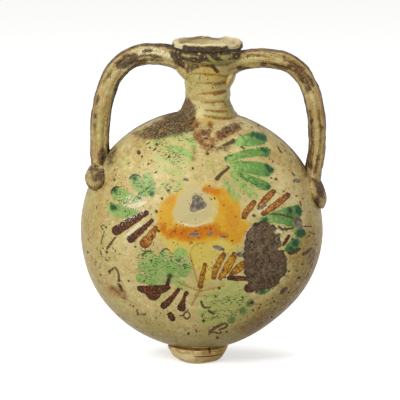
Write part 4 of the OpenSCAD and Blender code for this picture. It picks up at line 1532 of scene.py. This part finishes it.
def paintedGlaze(name):
    # Front of the body: ground, flower, leaves and strokes, then what has worn off on top of all
    material, tree, place = startMaterial(name)
    turning = arcPlace(place)
    colour, middle, small, fine = groundGlaze(tree, place, turning)
    ragged = swing(place, "ragged")
    drift = swing(place, "drift")
    bristle = cloud(place, "bristle")
    speck = cloud(place, "speck")
    full = mixed(between(bristle, 0.32, 0.5), 0.8, 0.97)
    worn = mixed(patches(place, "worn", 0.63, 0.49), 0.25, 0.9)

    wash = coat("wash", drift, wear=0.7, stray=14.0, soft=4.5)
    colour = lay(colour, wash, "wash")
    orangeHalo = coat("orange", drift, wear=0.6, stray=9.0, soft=4.0)
    colour = lay(colour, orangeHalo, "wash")
    orange = coat("orange", drift, wear=full, stray=7.0, soft=2.6)
    orangeTone = lay(glaze["orange"], between(middle, 0.44, 0.6), "orangeDeep", 0.42)
    orangeTone = lay(orangeTone, between(bristle, 0.52, 0.66), "wash", 0.3)
    colour = blendColour(orange * 0.94, colour, orangeTone)
    colour = lay(colour, coat("heart", drift, wear=0.5, stray=6.0, soft=3.6), "wash")
    heartInner = field(tree, "heart") + drift * 5.0
    colour = lay(colour, between(heartInner, -0.6, 3.4), "heart", 0.94)
    amber = coat("amber", drift, wear=full, stray=9.0, soft=3.0)
    colour = lay(colour, amber, "orangeDeep", 0.9)
    singed = coat("amber", drift, wear=0.75, stray=9.0, soft=3.0) * between(bristle, 0.56, 0.64)
    colour = lay(colour, singed, "rustDark")

    pale = coat("paleGreen", drift, wear=worn, stray=9.0, soft=2.4)
    colour = lay(colour, pale, "greenPale", 0.85)
    thinTone = lay(glaze["greenLight"], between(bristle, 0.44, 0.62), "green")
    thin = coat("thinGreen", drift, wear=full, stray=5.0, soft=1.6)
    colour = blendColour(thin * 0.72, colour, thinTone)
    pool = between(field(tree, "green"), 2.4, 0.2)
    leaf = mixed(field(tree, "greenTone"), -0.14, 0.6) + (bristle - 0.5) * 1.5
    leaf = leaf + pool * 0.22
    leafTone = lay(glaze["greenLight"], between(leaf, -0.16, 0.34), "green")
    lighter = between(field(tree, "lightGreen"), -2.0, 0.5)
    leafTone = lay(leafTone, lighter, "greenLight", 0.7)
    sheer = patches(place, "fading", 0.5, 0.64)
    leafTone = lay(leafTone, sheer * lighter, "heart", 0.55)
    deep = coat("deepGreen", drift, wear=1.0, stray=9.0, soft=3.0)
    pooled = between(leaf, 0.5, 0.95) * mixed(lighter, 0.85, 0.45)
    deep = most(deep, pooled)
    leafTone = lay(leafTone, deep, "greenDark", 0.9)
    tip = coat("deepGreen", drift, wear=0.9, stray=8.0, soft=1.8)
    tipped = tip * between(field(tree, "deepGreen"), -0.6, 1.6)
    leafTone = lay(leafTone, tipped, "greenTip")
    green = coat("green", ragged + drift * 1.4, wear=full, stray=2.6, soft=0.8)
    colour = blendColour(green, colour, leafTone)
    outside = coat("deepGreen", drift, wear=0.65, stray=9.0, soft=1.5)
    colour = lay(colour, outside, "greenDark")
    fleckPlace = made(tree, "ShaderNodeMapping",
                      {"Vector": place, "Rotation": (0, 0.7, 0), "Scale": (0.42, 1.0, 1.0)})
    flecks = patches(fleckPlace, "fleck", 0.52, 0.6)
    fleck = coat("fleck", drift, wear=0.8, stray=9.0, soft=2.5) * flecks
    colour = lay(colour, fleck, "greenFleck")

    colour = lay(colour, coat("stem", ragged, wear=0.7, stray=1.6, soft=0.6), "stem")
    rustTone = lay(glaze["rustDark"], between(bristle, 0.36, 0.62), "rust")
    rustWear = mixed(patches(place, "rustWear", 0.62, 0.46), 0.4, 1.0)
    rust = coat("rust", drift, wear=rustWear, stray=11.0, soft=2.6)
    colour = blendColour(rust * 0.93, colour, rustTone)
    sparse = between(speck, 0.5, 0.62)
    dense = between(speck, 0.42, 0.6) * 0.5 + between(bristle, 0.42, 0.6) * 0.5
    # Painted sheen: the cool strokes turn violet where the painted glints lie
    paintedSheen = coat("paintedShine", drift, wear=0.9, stray=4.0, soft=3.0)
    coolTone = lay(glaze["coolCore"], paintedSheen, "violet")
    colour, cool = thickStroke(tree, colour, "coolBrown", ragged, sparse * 0.8, glaze["coolBrown"],
                               coolTone)
    colour, red = thickStroke(tree, colour, "redBrown", ragged, dense, glaze["redBrown"],
                              glaze["redCore"])
    colour, ochre = thickStroke(tree, colour, "ochreBrown", ragged, dense, glaze["ochreBrown"],
                                glaze["ochreCore"])
    brown = most(cool, red, ochre)
    colour = lay(colour, coat("line", ragged, wear=0.9, stray=2.2, soft=0.5), "line")
    # Painted glints: white specks where the lamps' reflection shows
    paintedGlint = coat("paintedShine", drift, wear=1.0, stray=6.0, soft=1.5) * between(speck, 0.54, 0.6)
    colour = lay(colour, paintedGlint, "white", 0.85)
    colour = outlineShadeAndScorch(colour, middle, 0.92)
    # White lines, and the painted highlights on the left leaves and strokes
    colour = lay(colour, coat("white", ragged, wear=0.55, stray=2.0, soft=0.7), "white")

    share = field(tree, "edge") * 0.42 + 0.13
    share = share + green * 0.12
    share = share - orange * 0.07
    colour, pits = pitted(place, turning, colour, share, glaze["pit"])
    colour, pits = drawnPits(colour, pits, ragged)

    # Scorch, and the painted shade beside the straps' landings
    scorch = coat("dark", drift, wear=1.0, stray=14.0, soft=3.6)
    crumb = mixed(patches(place, "crumb", 0.36, 0.52), 0.5, 1.0)
    thinly = between(field(tree, "dark"), 6.0, 1.0)
    scorchTone = lay(glaze["scorch"], between(bristle, 0.44, 0.6) * mixed(thinly, 0.45, 1.0),
                     "scorchBrown")
    scorch = scorch * crumb
    ashy = patches(place, "ash", 0.5, 0.62)
    scorchTone = lay(scorchTone, ashy, "rustDark", 0.45)
    colour = blendColour(scorch * 0.95, colour, scorchTone)
    grit = scorch * between(speck, 0.54, 0.62) * mixed(ashy, 0.5, 1.6)
    colour = lay(colour, grit, "pinkish", 0.4)
    halo = coat("grey", ragged, wear=1.0, stray=2.0, soft=1.4) * 0.5
    colour = lay(colour, halo, "heart")
    grey = coat("grey", ragged, wear=1.0, stray=3.0, soft=0.5)
    greyTone = lay(glaze["chipDark"], between(bristle, 0.42, 0.58), "chipGrey")
    colour = blendColour(grey, colour, greyTone)
    bareEdge = field(tree, "bare") + drift * 9.0
    bare = between(bareEdge, -0.4, 0.5)
    gritty = cloud(place, "gritty")
    bareTone = lay(glaze["bareDark"], between(gritty, 0.38, 0.6), "bare")
    stain = between(middle, 0.5, 0.6)
    bareTone = lay(bareTone, stain, "barePurple", 0.65)
    rubbed = patches(place, "rubbed", 0.5, 0.62)
    bareTone = lay(bareTone, rubbed, "bareLight", 0.3)
    sooty = patches(place, "fading", 0.5, 0.38)
    bareTone = lay(bareTone, sooty, "bareDark", 0.4)
    crumbs = patches(place, "crumbs", 0.54, 0.66) * 0.8
    bareTone = lay(bareTone, crumbs, "bareLight")
    brink = between(field(tree, "bare"), 3.0, 0.2)
    bareTone = lay(bareTone, brink, "bareDark", 0.35)
    colour = blendColour(bare, colour, bareTone)

    # Brush strokes stand up, pits and broken places go down, raw clay is rough
    height = skinHeight(fine, small)
    height = height + brown * (speck * 3.0)
    height = height - pits * 2.6
    raw = most(bare, grey, scorch * 0.7)
    height = height + gritty * raw * 4.5
    matt = most(pits * 0.5, raw)
    gloss = mixed(most(brown, green), 0.4, 0.28)
    roughness = gloss + matt * 0.5
    finishMaterial(tree, colour, roughness, height)
    return material


def plainGlaze(name, share, ownMarks, markTone="purple", furrowed=0.0):
    # Body's back, neck, coil, straps and wads: the same ground with rings, streaks or dark places
    material, tree, place = startMaterial(name)
    dashPlace = place
    if ownMarks == "streaks":
        dashPlace = made(tree, "ShaderNodeAttribute", output="Vector", attribute_name="grain")
    if ownMarks == "arcs":
        dashPlace = arcPlace(place)
    colour, middle, small, fine = groundGlaze(tree, place, dashPlace)
    ragged = swing(place, "ragged")
    drift = swing(place, "drift")
    bristle = cloud(place, "bristle")
    height = skinHeight(fine, small)
    if ownMarks == "streaks":
        lengthwise = cloud(dashPlace, "lengthwise")
        ochre = between(lengthwise, 0.5, 0.64) * 0.55
        colour = lay(colour, ochre, "rust")
        streak = between(lengthwise, 0.42, 0.32) * 0.85
        colour = lay(colour, streak, "scorchBrown")
        furrow = field(tree, "furrow") * between(lengthwise, 0.56, 0.46)
        colour = lay(colour, furrow, "streakBrown", furrowed)
        height = height + lengthwise * 9.0
        speck = cloud(place, "strapSpeck")
        # Painted glints on the strap: white specks where the lamps' reflection shows
        paintedGlint = coat("paintedGlint", drift, wear=1.0, stray=6.0, soft=1.8) * between(speck, 0.48, 0.58)
        colour = lay(colour, paintedGlint, "white", 0.9)
    if ownMarks == "rings":
        tinge = patches(place, "tinge", 0.4, 0.58) * 0.28
        colour = lay(colour, tinge, "greenish")
        ochre = coat("wash", drift, wear=0.7, stray=9.0, soft=3.0) * between(bristle, 0.4, 0.55)
        colour = lay(colour, ochre, "neckWash")
        rustTone = lay(glaze["ringDark"], between(bristle, 0.44, 0.6), "ring")
        halo = coat("rust", drift, wear=0.45, stray=5.0, soft=2.6)
        colour = lay(colour, halo, "neckWash")
        rust = coat("rust", ragged, wear=0.85, stray=3.0, soft=1.2)
        colour = blendColour(rust, colour, rustTone)
        colour = lay(colour, coat("spot", ragged, wear=0.95, stray=3.0, soft=0.7), "line")
    colour = outlineShadeAndScorch(colour, middle, 0.9)
    share = field(tree, "edge") * 0.42 + share
    colour, pits = pitted(place, dashPlace, colour, share, glaze["pit"])
    if ownMarks == "arcs":
        colour, pits = drawnPits(colour, pits, ragged)
    # Scorch, and painted shade: under the collar, in the creases round the left pad and under the straps'
    # crowns
    scorch = coat("dark", drift, wear=1.0, stray=9.0, soft=1.6)
    crumb = mixed(patches(place, "crumb", 0.34, 0.48), 0.55, 1.0)
    scorch = scorch * crumb
    scorchTone = lay(glaze["scorch"], between(bristle, 0.42, 0.58), markTone)
    colour = blendColour(scorch * 0.92, colour, scorchTone)
    grit = scorch * between(fine, 0.58, 0.66)
    colour = lay(colour, grit, "pinkish", 0.5)
    low = most(pits, scorch)
    height = height - low * 2.6
    roughness = low * 0.35 + 0.32
    finishMaterial(tree, colour, roughness, height)
    return material


def collarGlaze():
    # A dark band round the collar, broken by the glaze, under a worn pale lip
    material, tree, place = startMaterial("collarGlaze")
    colour, middle, small, fine = groundGlaze(tree, place, place)
    drift = swing(place, "collarDrift")
    bristle = cloud(place, "bristle")
    level = field(tree, "band")
    edgeLevel = level + drift * 7.0
    band = between(edgeLevel, 0.2, 1.6) * between(edgeLevel, 15.0, 13.8)
    holes = patches(place, "holes", 0.66, 0.58)
    upper = between(level, 8.5, 10.5)
    band = band * most(holes, upper * 0.95)
    pale = coat("pale", drift, wear=0.85, stray=8.0, soft=1.3)
    band = band * (1.0 - pale)
    colour = lay(colour, pale, "greenish", 0.6)
    tone = lay(glaze["scorch"], between(bristle, 0.42, 0.6), "purple")
    tone = lay(tone, between(small, 0.57, 0.7), "chipGrey", 0.5)
    colour = blendColour(band * 0.96, colour, tone)
    lip = between(field(tree, "lip") + drift * 1.2, 0.35, 0.6)
    lipTone = lay(glaze["lip"], between(middle, 0.44, 0.6), "lipRaw")
    fleck = patches(place, "lipFleck", 0.58, 0.68) * 0.7
    lipTone = lay(lipTone, fleck, "clayDark")
    colour = blendColour(lip, colour, lipTone)
    singed = field(tree, "singed") * between(bristle, 0.34, 0.46)
    colour = lay(colour, singed, "scorchBrown", 0.85)
    colour, pits = pitted(place, place, colour, 0.16, glaze["pit"])
    height = fine * 2.0 + small * 5.0
    height = height - pits * 2.6
    matt = most(lip * 0.8, band * 0.35)
    roughness = matt * 0.5 + 0.34
    finishMaterial(tree, colour, roughness, height)
    return material


def bareClay():
    # Unglazed buff clay: grainy, with painted shade in the grooves and at the join, painted light on its
    # left and painted shade elsewhere, with thin glaze runs
    material, tree, place = startMaterial("bareClay")
    broad = cloud(place, "clayBroad")
    fine = cloud(place, "clayFine")
    colour = lay(glaze["clayLight"], between(broad, 0.35, 0.65), "clay")
    stain = patches(place, "clayStain", 0.5, 0.68) * 0.6
    colour = lay(colour, stain, "clayDark")
    drift = broad - 0.5
    # Painted light on the left of the foot and painted shade on the rest
    sunlit = coat("pale", drift, wear=0.9, stray=6.0, soft=3.0)
    shaded = 1.0 - sunlit
    colour = lay(colour, shaded, "clayDark", 0.45)
    colour = lay(colour, sunlit, "clayLight", 0.7)
    # Painted shade in the grooves and at the join
    groove = between(field(tree, "groove"), 0.12, 0.5)
    colour = lay(colour, groove, "crevice", 0.92)
    run = between(field(tree, "footHeight"), 7.0, 11.0) * patches(place, "clayRun", 0.44, 0.56)
    colour = lay(colour, run, "tan", 0.6)
    colour = lay(colour, coat("spot", drift, wear=0.9, stray=4.0, soft=0.7), "crevice")
    colour = grainy(colour, fine, 0.2)
    colour, pits = pitted(place, place, colour, 0.12, glaze["clayDark"])
    height = fine * 3.0 - pits * 2.6
    roughness = mixed(fine, 0.7, 0.9)
    finishMaterial(tree, colour, roughness, height)
    return material


def dress(piece, material, slot, *nodes):
    # A piece gets its material and takes its nodes' place
    piece.data.materials.append(material)
    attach(piece, "root")
    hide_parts(*nodes)


backGlaze = plainGlaze("backGlaze", 0.10, "arcs")
neckGlaze = plainGlaze("neckGlaze", 0.10, "rings", "scorchBrown")
leftStrapGlaze = plainGlaze("leftStrapGlaze", 0.10, "streaks", "purple", 0.35)
rightStrapGlaze = plainGlaze("rightStrapGlaze", 0.10, "streaks", "streakRed", 0.4)
wadGlaze = plainGlaze("wadGlaze", 0.16, "none")

dress(makeBowl("frontBowlSkin", True), paintedGlaze("paintedGlaze"), "cream_glaze", "front_bowl")
print("front bowl painted")
dress(makeBowl("backBowlSkin", False), backGlaze, "plain_glaze", "back_bowl")
print("back bowl glazed")
dress(makeNeck(), neckGlaze, "plain_glaze", "neck")
dress(makeCoil(), neckGlaze, "plain_glaze", "neck_coil")
dress(makeCollar(), collarGlaze(), "plain_glaze", "mouth_collar")
dress(makeFoot(), bareClay(), "bare_clay", "foot_ring")
print("neck, collar and foot turned")
dress(makeStrap("left", leftStrapDarkAndShade, 71), leftStrapGlaze, "handle_glaze", "left_handle")
dress(makeStrap("right", rightStrapDarkAndShade, 75), rightStrapGlaze, "handle_glaze", "right_handle")
print("straps pulled")

# A pad's thickness, width across the rim and length along the outline; how far its middle lies
# out from the body, its heading and how far round the rim it sits, in mm and degrees. A wad's
# middle, its lean and its size across, through and along. Dents: direction, spread and depth.
wads = {
    "leftPad": {"sign": -1, "heading": 28.4, "forward": 12.0, "proud": 0.3, "size": (13.4, 44.0, 22.6),
                "dents": [((0.7, -0.3, 0.5), 0.14, 0.20), ((0.9, -0.6, -0.3), 0.10, 0.12)],
                "stain": 0.62},
    "rightPad": {"sign": 1, "heading": 19.0, "forward": 5.0, "proud": 0.8, "size": (13.0, 34.0, 30.0),
                 "dents": [((0.9, -0.5, 0.2), 0.18, 0.16)], "stain": 0.8},
    "leftRootWad": {"centre": (-13.4, 0.0, 239.5), "lean": 45, "size": (10.0, 25.0, 21.0),
                    "dents": [], "stain": 0.2},
    "rightRootWad": {"centre": (22.0, 0.0, 233.5), "lean": -24, "size": (9.6, 24.0, 22.0),
                     "dents": [], "stain": 0.35},
}
for seed, (wadName, node) in enumerate(zip(wads, ("left_thumb_pad", "right_thumb_pad", "left_root_wad",
                                                  "right_root_wad"))):
    dress(makeWad(wadName, wads[wadName], 81 + 4 * seed), wadGlaze, "thumbed_glaze", node)
print("wads and pads pressed on")


# Floor, light and camera

floorLook = {"seen": tint(240, 239, 237), "givesBack": tint(140, 132, 96), "lift": 0.5}
# The floor: half its side in mm, and how matt it is
floorShape = {"half": 6000.0, "roughness": 0.9}
lampAim = (0.0, 0.0, 0.13)
lamps = {
    # place, width and height, watts
    "keyLight": ((-1.1, -1.5, 1.35), (0.8, 0.8), 30),
    "windowLight": ((-1.0, -1.15, 0.17), (0.22, 0.30), 2.4),
    "fillLight": ((1.5, -1.3, 0.7), (1.2, 1.2), 7),
    "topLight": ((0.1, 0.3, 1.7), (1.2, 0.8), 11),
}
worldGrey = 0.44


def seenDirectly(tree):
    # One for rays from the camera and for those that mirror or pass through, nought for the rest
    rays = put(tree, "ShaderNodeLightPath")
    mirrored, through, camera = (Wire(tree, rays.outputs[kind]) for kind in (
        "Is Glossy Ray", "Is Transmission Ray", "Is Camera Ray"))
    return most(camera, most(mirrored, through))


def makeFloor():
    # One flat square; it gives back less light than the camera sees, so that it doesn't light the pot
    half = floorShape["half"]
    corners = np.array([[-half, -half, 0], [half, -half, 0], [half, half, 0], [-half, half, 0]])
    floor = setMesh("floor", corners, [np.array([[0, 1, 2, 3]])], [False], {})
    material = bpy.data.materials.new("paleFloor")
    material.use_nodes = True
    tree = material.node_tree
    shader = tree.nodes["Principled BSDF"]
    seen = seenDirectly(tree)
    tone = blendColour(seen, floorLook["givesBack"], floorLook["seen"])
    tree.links.new(tone.socket, shader.inputs["Base Color"])
    tree.links.new((seen * floorLook["lift"]).socket, shader.inputs["Emission Strength"])
    shader.inputs["Emission Color"].default_value = (1.0, 1.0, 1.0, 1.0)
    shader.inputs["Roughness"].default_value = floorShape["roughness"]
    shader.inputs["Specular IOR Level"].default_value = 0.0
    floor.data.materials.append(material)


def softLight(name, place, size, power):
    # Turned to its aim: the tilt is the arccosine of how far it looks down over the distance, the
    # heading the arctangent of the other two, plus half a turn
    lamp = bpy.data.lights.new(name, "AREA")
    lamp.shape = "RECTANGLE"
    lamp.size, lamp.size_y = size
    lamp.energy = power
    lampObject = bpy.data.objects.new(name, lamp)
    bpy.context.scene.collection.objects.link(lampObject)
    lampObject.location = place
    aimed = np.array(lampAim) - np.array(place)
    tilt = math.acos(-aimed[2] / np.linalg.norm(aimed))
    lampObject.rotation_euler = (tilt, 0.0, math.atan2(aimed[0], -aimed[1]) + math.pi)


def makeWorld():
    # White to the camera and in reflections, a soft grey to everything else
    world = bpy.data.worlds.new("studio")
    bpy.context.scene.world = world
    world.use_nodes = True
    tree = world.node_tree
    tree.nodes.clear()
    grey = put(tree, "ShaderNodeBackground", {"Color": (1, 1, 1, 1), "Strength": worldGrey})
    white = put(tree, "ShaderNodeBackground", {"Color": (1, 1, 1, 1), "Strength": 1.0})
    either = put(tree, "ShaderNodeMixShader",
                 {0: seenDirectly(tree), 1: grey.outputs[0], 2: white.outputs[0]})
    put(tree, "ShaderNodeOutputWorld", {"Surface": either.outputs[0]})


def makeCamera():
    # Its lens is the sensor times the distance over what the frame covers at that distance
    forward, _ = photoAxes()
    lens = bpy.data.cameras.new("photoCamera")
    covered = photo["pixels"] * photo["mmPerPixel"]
    lens.sensor_width = photo["sensor"]
    lens.lens = photo["sensor"] * photo["distance"] / covered
    camera = bpy.data.objects.new("photoCamera", lens)
    bpy.context.scene.collection.objects.link(camera)
    camera.location = (np.array(photo["target"]) - forward * photo["distance"]) * mm
    camera.rotation_euler = (math.radians(90 - photo["elevation"]), 0.0, 0.0)
    bpy.context.scene.camera = camera


makeFloor()
for lampName, (lampPlace, lampSize, lampWatts) in lamps.items():
    softLight(lampName, lampPlace, lampSize, lampWatts)
makeWorld()
makeCamera()
bpy.context.scene.view_settings.view_transform = "Standard"
print("stage set")
